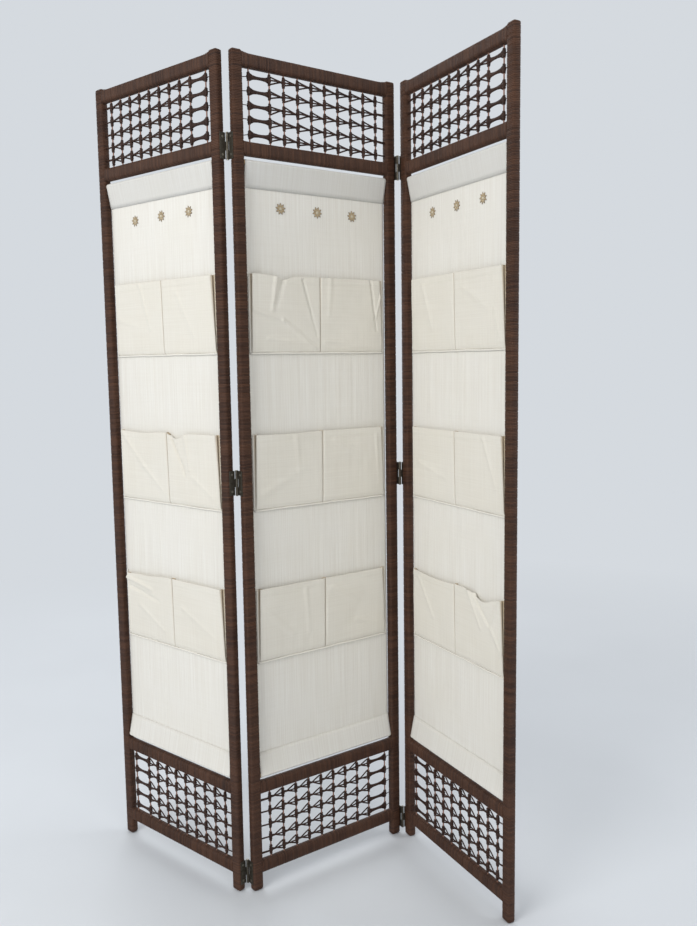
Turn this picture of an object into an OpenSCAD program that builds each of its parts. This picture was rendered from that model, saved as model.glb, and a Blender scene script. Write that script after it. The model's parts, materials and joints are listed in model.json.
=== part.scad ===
// Folding room divider screen: three hinged panels. Each panel is a frame of wooden
// bars wrapped in paper cane, with a woven lattice above and below, and a curtain
// with three rows of sewn pockets stretched between two rods.
// Millimetres, +Z up, origin on the floor at the middle of the standing screen.
// Each panel is drawn lying along +X from its left edge, front face at Y = 0.

/* [Panels] */
// Height of a panel from the floor to the top of its stiles
panel_height = 1700; // [1400:10:2100]
// Width of one panel
panel_width = 398; // [330:1:480]
// Width of a wrapped stile, seen from the front
stile_width = 24; // [20:0.5:30]
// Depth of the frame, front to back
frame_depth = 18; // [17:0.5:24]
// Height of a wrapped rail
rail_height = 28; // [22:0.5:36]
// Height of the stile foot below the bottom rail
foot_height = 34; // [20:1:60]
// Height of the stile end that stands above the top rail
stile_reveal = 4; // [0:1:15]
// Height of the opening of the upper lattice
upper_lattice_height = 136.5; // [110:0.5:170]
// Height of the opening of the lower lattice
lower_lattice_height = 146; // [110:0.5:180]

/* [Fold] */
// Angle of the left panel to the centre panel, 0 is flat
left_fold_angle = 77; // [10:1:120]
// Angle of the right panel to the centre panel, 0 is flat
right_fold_angle = 99; // [10:1:120]

/* [Bars] */
// Thickness of the cane wrapping on a bar
wrap_thickness = 1.5; // [1:0.1:2.5]
// Corner radius of a wrapped stile
stile_radius = 5; // [3:0.5:7]
// Corner radius of a wrapped rail
rail_radius = 7; // [3:0.5:8]
// Diameter of the wooden pin in each corner joint
joint_pin_diameter = 7; // [5:0.5:9]
// Depth of the corner pin's hole in the stile
pin_depth_in_stile = 13; // [8:0.5:15]
// Depth of the corner pin's hole in the rail
pin_depth_in_rail = 20; // [12:1:40]

/* [Lattice] */
// Number of upright cane rods in a lattice
cane_count = 10; // [6:1:12]
// Diameter of an upright cane rod
cane_diameter = 3; // [2:0.1:4]
// Depth of a cane rod's hole in the rail
cane_socket = 5; // [3:0.5:8]
// Gap from the stile to the first cane rod
end_gap = 16; // [8:1:20]
// Width of the wide cell beside the first cane rod
wide_cell = 47; // [30:1:60]
// Gap from the last cane rod to the other stile
far_gap = 24; // [16:1:32]
// Rows of woven strands in a lattice
weave_rows = 5; // [3:1:6]
// Height of a strand fan to each side of its row
fan_spread = 9.5; // [5:0.5:10]
// Width of a woven strand
strand_width = 2.4; // [1.5:0.1:3]
// Thickness of the woven strands, front to back
strand_depth = 2; // [1.2:0.1:2.5]

/* [Curtain] */
// Diameter of the rods that stretch the curtain
rod_diameter = 10; // [7:0.5:11]
// Depth of a curtain rod's hole in the stile
rod_socket = 12; // [8:0.5:14]
// Distance from a rail to the centre of its curtain rod
rod_offset = 11.5; // [9:0.5:20]
// Thickness of the curtain cloth
cloth_thickness = 1.2; // [0.8:0.1:1.5]
// Gap between the curtain's edge and the stile
side_gap = 3; // [1:0.5:12]
// Height of the doubled header and hem, from the rod's centre
hem_height = 47; // [30:1:80]

/* [Pockets] */
// Gap between the stile and the end of a pocket row
pocket_side_gap = 7; // [4:0.5:20]
// Height of a pocket
pocket_height = 157; // [120:1:190]
// Distance from the header's lower edge to the top of the upper pockets
pocket_drop = 166; // [40:1:200]
// Distance from the lower curtain rod to the bottom of the lower pockets
pocket_rise = 238; // [120:1:240]
// Thickness of the pocket cloth
pocket_wall = 1.5; // [1:0.1:2]
// Height of the rounded lower front edge of a pocket
pocket_slope = 10; // [6:1:20]

/* [Flowers] */
// Diameter of an embroidered flower
flower_diameter = 24; // [16:1:30]
// Distance between the flowers
flower_spacing = 89; // [60:1:100]
// Distance from the header's lower edge to the middle of the flowers
flower_drop = 34; // [22:1:45]

/* [Hinges] */
// Height of a hinge
hinge_height = 50; // [40:1:60]
// Thickness of a hinge leaf
leaf_thickness = 1.2; // [0.8:0.1:1.5]
// Radius of the hinge barrel
barrel_radius = 2.9; // [2.5:0.1:3.5]
// Diameter of the hinge pin
hinge_pin_diameter = 3; // [2.4:0.1:3.4]
// Distance from the panel's face to the centre of the hinge pin
pin_offset = 3.2; // [3:0.1:4.5]
// Height of the bottom hinges' middle above the floor
bottom_hinge_height = 40; // [30:1:60]
// Height of the left joint's middle hinge
left_middle_hinge_height = 866; // [600:1:1000]
// Height of the right joint's middle hinge
right_middle_hinge_height = 854; // [600:1:1000]
// Distance from the stile top to the top hinges' middle
top_hinge_drop = 179; // [100:1:250]
// Diameter of a hinge screw's shank
screw_diameter = 2.6; // [2:0.1:3]
// Length of a hinge screw
screw_length = 12; // [8:0.5:16]

/* [Hidden] */

$fn = 48;

// Panels
LEFT = 0;
CENTRE = 1;
RIGHT = 2;

// Small clearances: a wooden pin or a wrapped core, a turning hinge pin
seat_gap = 0.05;
turning_gap = 0.05;
// Slack that keeps a cut clear of the face it goes through
eps = 1;

// Rails, by the height of their lower faces
bottom_rail_z = foot_height;
lower_rail_z = bottom_rail_z + rail_height + lower_lattice_height;
top_rail_z = panel_height - stile_reveal - rail_height;
upper_rail_z = top_rail_z - upper_lattice_height - rail_height;
rail_levels = [top_rail_z, upper_rail_z, lower_rail_z, bottom_rail_z];
inner_width = panel_width - 2 * stile_width;
mid_depth = frame_depth / 2;

// Curtain
rod_radius = rod_diameter / 2;
upper_rod_z = upper_rail_z - rod_offset;
lower_rod_z = lower_rail_z + rail_height + rod_offset;
hem_radius = rod_radius + seat_gap + cloth_thickness;
sheet_y = mid_depth + hem_radius - cloth_thickness;
header_z = upper_rod_z - hem_height;
hem_z = lower_rod_z + hem_height;
curtain_x = stile_width + side_gap;
curtain_width = inner_width - 2 * side_gap;

// Pockets
pocket_x = stile_width + pocket_side_gap;
pocket_row_width = inner_width - 2 * pocket_side_gap;
pocket_front = 0.5;
pocket_tuck = 3;
upper_pocket_z = header_z - pocket_drop - pocket_height;
lower_pocket_z = lower_rod_z + pocket_rise;
middle_pocket_z = (upper_pocket_z + lower_pocket_z) / 2;
stitch_depth = 0.8;

// Lattice
cane_radius = cane_diameter / 2;
cane_pitch = (inner_width - end_gap - wide_cell - far_gap) / (cane_count - 2);
cane_places = [
    for (i = [0 : cane_count - 1]) end_gap + (i == 0 ? 0 : wide_cell + (i - 1) * cane_pitch)
];
weave_y = mid_depth - cane_radius - seat_gap - strand_depth;
bow_share = 0.8;
bow_taper = 0.3;

// Hinges
panel_gap = 2 * barrel_radius;
leaf_front = 4;
leaf_clearance = 0.5;
leaf_rear = 2;
leaf_edge = frame_depth + pin_offset - barrel_radius - leaf_clearance;
screw_line = (leaf_front + frame_depth - leaf_rear) / 2;
screw_radius = screw_diameter / 2;
screw_head_radius = 2.4;
screw_head_height = 0.8;
screw_end_gap = 8;
screw_spread = hinge_height / 2 - screw_end_gap;
knuckle_gap = 0.2;
knuckle_step = hinge_height / 3;
hinge_pin_radius = hinge_pin_diameter / 2;
pin_head_height = 1.2;
pin_head_inset = 0.4;
left_hinge_levels = [
    bottom_hinge_height, left_middle_hinge_height, panel_height - top_hinge_drop
];
right_hinge_levels = [
    bottom_hinge_height, right_middle_hinge_height, panel_height - top_hinge_drop
];

// Places of the two hinge lines beside the centre panel
left_pin = [-panel_gap / 2, frame_depth + pin_offset];
right_pin = [panel_width + panel_gap / 2, -pin_offset];

// Outermost points of the standing screen, from the centres of the stile corners
function turned(p, a) = [p[0] * cos(a) + p[1] * sin(a), -p[0] * sin(a) + p[1] * cos(a)];
function on_left(x, y) =
    left_pin + turned([x - panel_width - panel_gap / 2, y - frame_depth - pin_offset], left_fold_angle);
function on_right(x, y) = right_pin + turned([x + panel_gap / 2, y + pin_offset], right_fold_angle);
corner_x = [stile_radius, panel_width - stile_radius];
corner_y = [stile_radius, frame_depth - stile_radius];
corners = [
    for (x = corner_x, y = corner_y) each [on_left(x, y), [x, y], on_right(x, y)]
];
low_x = min([for (c = corners) c[0]]) - stile_radius;
high_x = max([for (c = corners) c[0]]) + stile_radius;
low_y = min([for (c = corners) c[1]]) - stile_radius;
high_y = max([for (c = corners) c[1]]) + stile_radius;
middle = [(low_x + high_x) / 2, (low_y + high_y) / 2];

// Puts a panel, or what is fixed to it, where it stands
module place(panel) {
    translate([-middle[0], -middle[1], 0])
        if (panel == LEFT)
            translate(left_pin) rotate(-left_fold_angle)
                translate([-panel_width - panel_gap / 2, -frame_depth - pin_offset]) children();
        else if (panel == RIGHT)
            translate(right_pin) rotate(-right_fold_angle)
                translate([panel_gap / 2, pin_offset]) children();
        else
            children();
}

// The weave of the outer panels is the mirror image of the centre panel's
module weave_hand(panel) {
    if (panel == CENTRE) children();
    else end_for_end() children();
}

module rounded_rectangle(width, height, radius) {
    translate([radius, 0]) square([width - 2 * radius, height]);
    translate([0, radius]) square([width, height - 2 * radius]);
    for (x = [radius, width - radius], y = [radius, height - radius])
        translate([x, y]) circle(radius);
}

// A cylinder along +X
module bar_x(x, y, z, length, radius) {
    translate([x, y, z]) rotate([0, 90, 0]) cylinder(length, radius, radius);
}

// An upright bar, drawn inwards by inset from the wrapped size
module upright(x, inset, from_z, to_z) {
    translate([x + inset, inset, from_z]) linear_extrude(to_z - from_z)
        rounded_rectangle(stile_width - 2 * inset, frame_depth - 2 * inset, stile_radius - inset);
}

// A level bar between the stiles, drawn inwards by inset from the wrapped size
module crossbar(z, inset, end_gap = 0) {
    translate([stile_width + end_gap, inset, z + inset]) rotate([90, 0, 90])
        linear_extrude(inner_width - 2 * end_gap)
            rounded_rectangle(frame_depth - 2 * inset, rail_height - 2 * inset, rail_radius - inset);
}

// The corner pins, one at each end of each rail; gap widens them into their holes
module joint_pin_shapes(gap) {
    for (z = rail_levels, x = [stile_width, panel_width - stile_width]) {
        in_left = x < panel_width / 2 ? pin_depth_in_stile : pin_depth_in_rail;
        bar_x(x - in_left - gap, mid_depth, z + rail_height / 2,
            pin_depth_in_stile + pin_depth_in_rail + 2 * gap, joint_pin_diameter / 2 + gap);
    }
}

// The two rods that stretch the curtain; gap widens them into their holes
module curtain_rod_shapes(gap) {
    for (z = [upper_rod_z, lower_rod_z])
        bar_x(stile_width - rod_socket - gap, mid_depth, z,
            inner_width + 2 * (rod_socket + gap), rod_radius + gap);
}

// Turns a lattice end for end along the panel
module end_for_end() {
    translate([panel_width, 0, 0]) mirror([1, 0, 0]) children();
}

// The upright canes of one lattice; gap widens them into their holes
module lattice_cane_shapes(from_z, height, gap) {
    for (place = cane_places)
        translate([stile_width + place, mid_depth, from_z - cane_socket - gap])
            cylinder(height + 2 * (cane_socket + gap), cane_radius + gap, cane_radius + gap);
}

// The canes of both lattices; the lower lattice is the upper one end for end
module cane_shapes(gap) {
    lattice_cane_shapes(upper_rail_z + rail_height, upper_lattice_height, gap);
    end_for_end() lattice_cane_shapes(bottom_rail_z + rail_height, lower_lattice_height, gap);
}

// The screw shanks of the hinges on one edge of a panel, pointing into the stile
module shank_shapes(at_right, pin_behind, levels, gap) {
    for (z = levels, side = [-1, 1])
        hinge_side(at_right, pin_behind)
            bar_x(-leaf_thickness, screw_line, z + side * screw_spread,
                screw_length + gap, screw_radius + gap);
}

// Turns a shape that is drawn for a left edge with the pin behind to the edge it is for
module hinge_side(at_right, pin_behind) {
    translate([at_right ? panel_width : 0, pin_behind ? 0 : frame_depth, 0])
        mirror([at_right ? 1 : 0, 0, 0]) mirror([0, pin_behind ? 0 : 1, 0]) children();
}

// All the screws of one panel
module panel_shanks(panel, gap) {
    if (panel == LEFT) shank_shapes(true, true, left_hinge_levels, gap);
    if (panel == CENTRE) shank_shapes(false, true, left_hinge_levels, gap);
    if (panel == CENTRE) shank_shapes(true, false, right_hinge_levels, gap);
    if (panel == RIGHT) shank_shapes(false, false, right_hinge_levels, gap);
}

module stile(panel, at_right) {
    color("burlywood") place(panel) difference() {
        upright(at_right ? panel_width - stile_width : 0, wrap_thickness + seat_gap, 0, panel_height);
        joint_pin_shapes(seat_gap);
        curtain_rod_shapes(seat_gap);
        panel_shanks(panel, seat_gap);
    }
}

module rail(panel, z) {
    color("burlywood") place(panel) difference() {
        crossbar(z, wrap_thickness + seat_gap);
        joint_pin_shapes(seat_gap);
        weave_hand(panel) cane_shapes(seat_gap);
    }
}

// The cane wound round the stiles and rails, as one sleeve on each bar
module cane_wrap(panel) {
    color("saddlebrown") place(panel) difference() {
        union() {
            for (x = [0, panel_width - stile_width]) difference() {
                upright(x, 0, wrap_thickness, panel_height - wrap_thickness);
                upright(x, wrap_thickness, 0, panel_height);
            }
            for (z = rail_levels) difference() {
                crossbar(z, 0, seat_gap);
                crossbar(z, wrap_thickness);
            }
        }
        joint_pin_shapes(seat_gap);
        curtain_rod_shapes(seat_gap);
        weave_hand(panel) cane_shapes(seat_gap);
        panel_shanks(panel, seat_gap);
    }
}

module joint_pins(panel) {
    color("peru") place(panel) joint_pin_shapes(0);
}

module curtain_rods(panel) {
    color("tan") place(panel) curtain_rod_shapes(0);
}

module lattice_canes(panel) {
    color("sienna") place(panel) weave_hand(panel) cane_shapes(0);
}

// A flat strand from one point of the lattice to another
module strand(from, to) {
    run = to - from;
    translate(from) rotate(atan2(run[1], run[0]))
        translate([0, -strand_width / 2]) square([norm(run), strand_width]);
}

// One row of strands: a thread to the stile, a bow across the wide cell, then a fan
// in each cell that spreads on one cane and closes on the next
module weave_row() {
    first = cane_places[0];
    second = cane_places[1];
    bow = fan_spread * bow_share;
    strand([0, 0], [first, 0]);
    polygon([
        [first, -bow], [first + wide_cell * bow_taper, -strand_width], [second, -strand_width],
        [second, strand_width], [first + wide_cell * bow_taper, strand_width], [first, bow]
    ]);
    for (i = [1 : cane_count - 2]) for (side = [-1, 0, 1])
        strand([cane_places[i], side * fan_spread], [cane_places[i + 1], 0]);
    strand([cane_places[cane_count - 1], 0], [inner_width, 0]);
    for (i = [1 : cane_count - 1])
        translate([cane_places[i] - strand_width / 2, -fan_spread])
            square([strand_width, 2 * fan_spread]);
}

// One lattice's strands, held against the front of its canes
module weave_sheet(from_z, height) {
    row_pitch = height / weave_rows;
    translate([stile_width, weave_y + strand_depth, from_z])
        rotate([90, 0, 0]) linear_extrude(strand_depth)
            for (row = [0 : weave_rows - 1])
                translate([0, (row + 0.5) * row_pitch]) weave_row();
}

module lattice_weave(panel) {
    color("maroon") place(panel) weave_hand(panel) {
        weave_sheet(upper_rail_z + rail_height, upper_lattice_height);
        end_for_end() weave_sheet(bottom_rail_z + rail_height, lower_lattice_height);
    }
}

// The stretched cloth, behind the rods
module curtain(panel) {
    color("ivory") place(panel)
        translate([curtain_x, sheet_y, hem_z])
            cube([curtain_width, cloth_thickness, header_z - hem_z]);
}

// The side view of a doubled hem, round a rod at the origin, with its tail downwards
module hem_outline(radius, back, tail) {
    circle(radius);
    polygon([[-radius, 0], [back, -tail], [radius, -tail], [radius, 0]]);
}

// A hem that runs from the curtain's edge at edge_z round the rod at rod_z
module hem(rod_z, flip) {
    inner = rod_radius + seat_gap;
    tail = hem_height;
    translate([curtain_x, mid_depth, rod_z]) mirror([0, 0, flip ? 1 : 0])
        rotate([90, 0, 90]) linear_extrude(curtain_width) difference() {
            hem_outline(hem_radius, hem_radius - cloth_thickness, tail);
            hem_outline(inner, inner - cloth_thickness, tail - 3 * cloth_thickness);
        }
}

module curtain_hems(panel) {
    color("linen") place(panel) {
        hem(upper_rod_z, false);
        hem(lower_rod_z, true);
    }
}

// A row of two pockets, each a front and a floor with cloth at its ends, sewn to the
// curtain behind it at both ends and in the middle
module pocket_row(z) {
    inner = pocket_front + pocket_wall;
    bend = sheet_y - pocket_tuck;
    outside = [[pocket_front, pocket_height], [pocket_front, pocket_slope], [bend, 0], [sheet_y, 0]];
    inside = [
        [sheet_y, pocket_wall], [bend, pocket_wall], [inner, pocket_slope + pocket_wall / 2],
        [inner, pocket_height]
    ];
    seams = [0, (pocket_row_width - pocket_wall) / 2, pocket_row_width - pocket_wall];
    translate([pocket_x, 0, z]) rotate([90, 0, 90]) {
        linear_extrude(pocket_row_width) polygon(concat(outside, inside));
        for (seam = seams)
            translate([0, 0, seam]) linear_extrude(pocket_wall)
                polygon(concat(outside, [[sheet_y, pocket_height]]));
    }
}

module pockets(panel, z) {
    color("beige") place(panel) pocket_row(z);
}

// An embroidered flower of round petals, standing on the cloth
module flower(x) {
    petals = 8;
    petal_radius = flower_diameter / 7;
    translate([x, sheet_y, header_z - flower_drop]) rotate([90, 0, 0]) linear_extrude(stitch_depth) {
        circle(flower_diameter / 2 - petal_radius);
        for (i = [0 : petals - 1])
            rotate(i * 360 / petals) translate([flower_diameter / 2 - petal_radius, 0])
                circle(petal_radius);
    }
}

module flowers(panel) {
    color("goldenrod") place(panel)
        for (i = [-1, 0, 1]) flower(panel_width / 2 + i * flower_spacing);
}

// One leaf for a left edge with the pin behind: a plate, its knuckles and screw holes.
// A leaf has either the two end knuckles or the one between them.
module leaf(z, has_ends) {
    pin_x = -panel_gap / 2;
    pin_y = frame_depth + pin_offset;
    steps = has_ends ? [0, 2] : [1];
    base = z - hinge_height / 2;
    difference() {
        union() {
            translate([-leaf_thickness, leaf_front, base])
                cube([leaf_thickness, leaf_edge - leaf_front, hinge_height]);
            for (s = steps) {
                low = base + s * knuckle_step + (s == 0 ? 0 : knuckle_gap / 2);
                high = base + (s + 1) * knuckle_step - (s == 2 ? 0 : knuckle_gap / 2);
                translate([-leaf_thickness, leaf_edge - eps, low])
                    cube([leaf_thickness, pin_y - leaf_edge + eps, high - low]);
                translate([pin_x, pin_y, low]) cylinder(high - low, barrel_radius, barrel_radius);
            }
        }
        translate([pin_x, pin_y, base - eps])
            cylinder(hinge_height + 2 * eps, hinge_pin_radius + turning_gap,
                hinge_pin_radius + turning_gap);
        for (side = [-1, 1])
            bar_x(-leaf_thickness - eps, screw_line, z + side * screw_spread,
                leaf_thickness + 2 * eps, screw_radius + seat_gap);
    }
}

module leaves(panel, at_right, pin_behind, levels, has_ends) {
    color("dimgray") place(panel) hinge_side(at_right, pin_behind)
        for (z = levels) leaf(z, has_ends);
}

// Hinge pins with a button head at each end, held by the centre panel's leaves
module hinge_pins(at_right, pin_behind, levels) {
    color("silver") place(CENTRE) hinge_side(at_right, pin_behind)
        for (z = levels) translate([-panel_gap / 2, frame_depth + pin_offset, z - hinge_height / 2]) {
            translate([0, 0, -pin_head_height])
                cylinder(hinge_height + 2 * pin_head_height, hinge_pin_radius, hinge_pin_radius);
            for (end = [-pin_head_height, hinge_height])
                translate([0, 0, end])
                    cylinder(pin_head_height, barrel_radius - pin_head_inset, barrel_radius - pin_head_inset);
        }
}

// Screw heads on the leaves of one edge of a panel
module head_shapes(at_right, pin_behind, levels) {
    for (z = levels, side = [-1, 1])
        hinge_side(at_right, pin_behind)
            bar_x(-leaf_thickness - screw_head_height, screw_line, z + side * screw_spread,
                screw_head_height, screw_head_radius);
}

module screws(panel) {
    color("gray") place(panel) {
        panel_shanks(panel, 0);
        if (panel == LEFT) head_shapes(true, true, left_hinge_levels);
        if (panel == CENTRE) head_shapes(false, true, left_hinge_levels);
        if (panel == CENTRE) head_shapes(true, false, right_hinge_levels);
        if (panel == RIGHT) head_shapes(false, false, right_hinge_levels);
    }
}

stile(LEFT, false);  // left_panel_left_stile
stile(LEFT, true);  // left_panel_right_stile
rail(LEFT, top_rail_z);  // left_panel_top_rail
rail(LEFT, upper_rail_z);  // left_panel_upper_rail
rail(LEFT, lower_rail_z);  // left_panel_lower_rail
rail(LEFT, bottom_rail_z);  // left_panel_bottom_rail
cane_wrap(LEFT);  // left_panel_cane_wrap
joint_pins(LEFT);  // left_panel_joint_pins
lattice_canes(LEFT);  // left_panel_lattice_canes
lattice_weave(LEFT);  // left_panel_lattice_weave
curtain_rods(LEFT);  // left_panel_curtain_rods
curtain(LEFT);  // left_panel_curtain
curtain_hems(LEFT);  // left_panel_curtain_hems
pockets(LEFT, upper_pocket_z);  // left_panel_upper_pockets
pockets(LEFT, middle_pocket_z);  // left_panel_middle_pockets
pockets(LEFT, lower_pocket_z);  // left_panel_lower_pockets
flowers(LEFT);  // left_panel_flowers
stile(CENTRE, false);  // centre_panel_left_stile
stile(CENTRE, true);  // centre_panel_right_stile
rail(CENTRE, top_rail_z);  // centre_panel_top_rail
rail(CENTRE, upper_rail_z);  // centre_panel_upper_rail
rail(CENTRE, lower_rail_z);  // centre_panel_lower_rail
rail(CENTRE, bottom_rail_z);  // centre_panel_bottom_rail
cane_wrap(CENTRE);  // centre_panel_cane_wrap
joint_pins(CENTRE);  // centre_panel_joint_pins
lattice_canes(CENTRE);  // centre_panel_lattice_canes
lattice_weave(CENTRE);  // centre_panel_lattice_weave
curtain_rods(CENTRE);  // centre_panel_curtain_rods
curtain(CENTRE);  // centre_panel_curtain
curtain_hems(CENTRE);  // centre_panel_curtain_hems
pockets(CENTRE, upper_pocket_z);  // centre_panel_upper_pockets
pockets(CENTRE, middle_pocket_z);  // centre_panel_middle_pockets
pockets(CENTRE, lower_pocket_z);  // centre_panel_lower_pockets
flowers(CENTRE);  // centre_panel_flowers
stile(RIGHT, false);  // right_panel_left_stile
stile(RIGHT, true);  // right_panel_right_stile
rail(RIGHT, top_rail_z);  // right_panel_top_rail
rail(RIGHT, upper_rail_z);  // right_panel_upper_rail
rail(RIGHT, lower_rail_z);  // right_panel_lower_rail
rail(RIGHT, bottom_rail_z);  // right_panel_bottom_rail
cane_wrap(RIGHT);  // right_panel_cane_wrap
joint_pins(RIGHT);  // right_panel_joint_pins
lattice_canes(RIGHT);  // right_panel_lattice_canes
lattice_weave(RIGHT);  // right_panel_lattice_weave
curtain_rods(RIGHT);  // right_panel_curtain_rods
curtain(RIGHT);  // right_panel_curtain
curtain_hems(RIGHT);  // right_panel_curtain_hems
pockets(RIGHT, upper_pocket_z);  // right_panel_upper_pockets
pockets(RIGHT, middle_pocket_z);  // right_panel_middle_pockets
pockets(RIGHT, lower_pocket_z);  // right_panel_lower_pockets
flowers(RIGHT);  // right_panel_flowers
leaves(LEFT, true, true, left_hinge_levels, false);  // left_hinge_outer_leaves
leaves(CENTRE, false, true, left_hinge_levels, true);  // left_hinge_inner_leaves
hinge_pins(false, true, left_hinge_levels);  // left_hinge_pins
leaves(CENTRE, true, false, right_hinge_levels, true);  // right_hinge_inner_leaves
leaves(RIGHT, false, false, right_hinge_levels, false);  // right_hinge_outer_leaves
hinge_pins(true, false, right_hinge_levels);  // right_hinge_pins
screws(LEFT);  // left_panel_screws
screws(CENTRE);  // centre_panel_screws
screws(RIGHT);  // right_panel_screws
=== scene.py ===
"""Folding room divider screen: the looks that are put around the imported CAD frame.

Three hinged panels of cane-wrapped bars, each with two woven lattices and a curtain that
carries three rows of sewn pockets. Everything is in metres, in the frame of the CAD.
"""

import json
import math
import sys

import bpy
import numpy as np
from bpy.props import FloatProperty, FloatVectorProperty, IntProperty, PointerProperty
from mathutils import Matrix, Vector
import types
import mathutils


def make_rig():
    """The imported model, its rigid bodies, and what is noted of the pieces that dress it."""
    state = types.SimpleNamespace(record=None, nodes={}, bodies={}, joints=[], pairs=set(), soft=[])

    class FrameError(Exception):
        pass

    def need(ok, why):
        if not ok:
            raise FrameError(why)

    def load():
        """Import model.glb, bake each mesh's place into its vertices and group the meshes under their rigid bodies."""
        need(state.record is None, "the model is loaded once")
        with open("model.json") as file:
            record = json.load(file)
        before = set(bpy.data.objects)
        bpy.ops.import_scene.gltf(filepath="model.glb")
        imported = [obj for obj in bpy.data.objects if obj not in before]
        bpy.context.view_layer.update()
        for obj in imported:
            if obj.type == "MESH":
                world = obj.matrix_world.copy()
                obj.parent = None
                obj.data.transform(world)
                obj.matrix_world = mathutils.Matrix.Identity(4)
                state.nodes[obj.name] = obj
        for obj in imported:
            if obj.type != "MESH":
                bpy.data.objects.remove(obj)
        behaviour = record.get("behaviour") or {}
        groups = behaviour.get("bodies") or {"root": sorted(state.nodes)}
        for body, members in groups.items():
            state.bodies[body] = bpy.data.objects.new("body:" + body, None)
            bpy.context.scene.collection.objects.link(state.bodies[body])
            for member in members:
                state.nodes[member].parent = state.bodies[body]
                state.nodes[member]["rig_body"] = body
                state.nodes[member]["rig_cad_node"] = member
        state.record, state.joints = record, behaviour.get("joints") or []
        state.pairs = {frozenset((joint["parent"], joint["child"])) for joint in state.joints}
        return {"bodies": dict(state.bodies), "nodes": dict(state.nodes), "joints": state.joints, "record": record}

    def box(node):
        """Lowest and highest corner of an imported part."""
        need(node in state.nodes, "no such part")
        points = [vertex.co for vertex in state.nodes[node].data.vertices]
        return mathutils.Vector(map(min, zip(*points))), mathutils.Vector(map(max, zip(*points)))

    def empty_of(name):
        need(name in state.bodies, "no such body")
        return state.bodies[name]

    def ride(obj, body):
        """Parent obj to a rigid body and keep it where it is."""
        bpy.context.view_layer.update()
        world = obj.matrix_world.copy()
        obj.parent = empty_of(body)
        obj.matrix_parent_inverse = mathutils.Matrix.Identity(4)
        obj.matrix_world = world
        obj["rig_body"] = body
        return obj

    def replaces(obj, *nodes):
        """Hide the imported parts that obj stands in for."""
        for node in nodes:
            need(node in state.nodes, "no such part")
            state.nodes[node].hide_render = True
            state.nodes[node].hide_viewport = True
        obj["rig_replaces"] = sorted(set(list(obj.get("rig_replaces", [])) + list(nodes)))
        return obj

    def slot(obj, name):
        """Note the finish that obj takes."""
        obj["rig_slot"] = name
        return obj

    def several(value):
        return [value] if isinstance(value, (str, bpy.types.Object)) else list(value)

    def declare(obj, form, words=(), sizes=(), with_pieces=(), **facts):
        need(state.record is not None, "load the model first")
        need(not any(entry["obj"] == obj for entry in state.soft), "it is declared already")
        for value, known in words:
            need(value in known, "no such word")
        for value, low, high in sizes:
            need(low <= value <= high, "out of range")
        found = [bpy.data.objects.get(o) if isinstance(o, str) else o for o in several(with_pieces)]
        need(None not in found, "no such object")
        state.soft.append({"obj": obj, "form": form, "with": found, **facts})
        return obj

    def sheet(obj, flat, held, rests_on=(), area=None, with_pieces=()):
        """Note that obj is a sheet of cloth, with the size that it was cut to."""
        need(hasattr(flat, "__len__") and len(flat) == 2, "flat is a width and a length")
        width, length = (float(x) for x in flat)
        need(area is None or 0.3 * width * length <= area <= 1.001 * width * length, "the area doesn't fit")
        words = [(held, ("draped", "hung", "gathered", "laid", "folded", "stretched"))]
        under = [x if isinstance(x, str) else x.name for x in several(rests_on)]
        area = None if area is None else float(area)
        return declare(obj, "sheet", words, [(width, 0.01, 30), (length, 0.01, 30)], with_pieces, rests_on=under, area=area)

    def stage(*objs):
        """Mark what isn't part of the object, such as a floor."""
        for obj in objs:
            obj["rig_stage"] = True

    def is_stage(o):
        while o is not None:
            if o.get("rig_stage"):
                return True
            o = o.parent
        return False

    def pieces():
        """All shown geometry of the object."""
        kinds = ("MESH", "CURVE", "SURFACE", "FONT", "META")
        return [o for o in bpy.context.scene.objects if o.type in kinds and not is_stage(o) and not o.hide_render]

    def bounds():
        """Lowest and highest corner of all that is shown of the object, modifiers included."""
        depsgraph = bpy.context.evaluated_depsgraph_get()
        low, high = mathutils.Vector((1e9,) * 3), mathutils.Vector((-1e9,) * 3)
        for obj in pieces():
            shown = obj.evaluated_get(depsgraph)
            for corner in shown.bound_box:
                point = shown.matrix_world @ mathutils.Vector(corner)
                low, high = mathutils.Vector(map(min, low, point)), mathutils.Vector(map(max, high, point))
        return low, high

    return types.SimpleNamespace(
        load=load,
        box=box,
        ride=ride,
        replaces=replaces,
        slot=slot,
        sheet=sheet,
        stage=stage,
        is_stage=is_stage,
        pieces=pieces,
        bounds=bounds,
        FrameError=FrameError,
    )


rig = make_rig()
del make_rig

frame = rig.load()
CAD_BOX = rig.bounds()

bl_info = {
    "name": "Folding Pocket Screen",
    "version": (1, 0, 0),
    "blender": (4, 5, 0),
    "location": "View3D > Sidebar > Screen",
    "description": "Dresses a three panel folding screen in wound cane, woven lattice and cloth",
    "category": "Object",
}

PANELS = ("left", "centre", "right")
RAILS = ("top_rail", "upper_rail", "lower_rail", "bottom_rail")
MM = 0.001
CORE_INSET = 1.55 * MM


# ---------------------------------------------------------------- where things are


def foot(panel, side):
    """The middle of a stile's foot, from the record's mounts."""
    for mount in frame["record"]["mounts"]:
        if mount["name"] == f"{panel}_panel_{side}_foot":
            return np.array(mount["pos_m"], float)
    raise RuntimeError(f"the record has no foot named {panel}_panel_{side}_foot")


def node_box(name):
    """A node's lowest and highest corner as arrays."""
    low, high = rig.box(name)
    return np.array(low), np.array(high)


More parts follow.
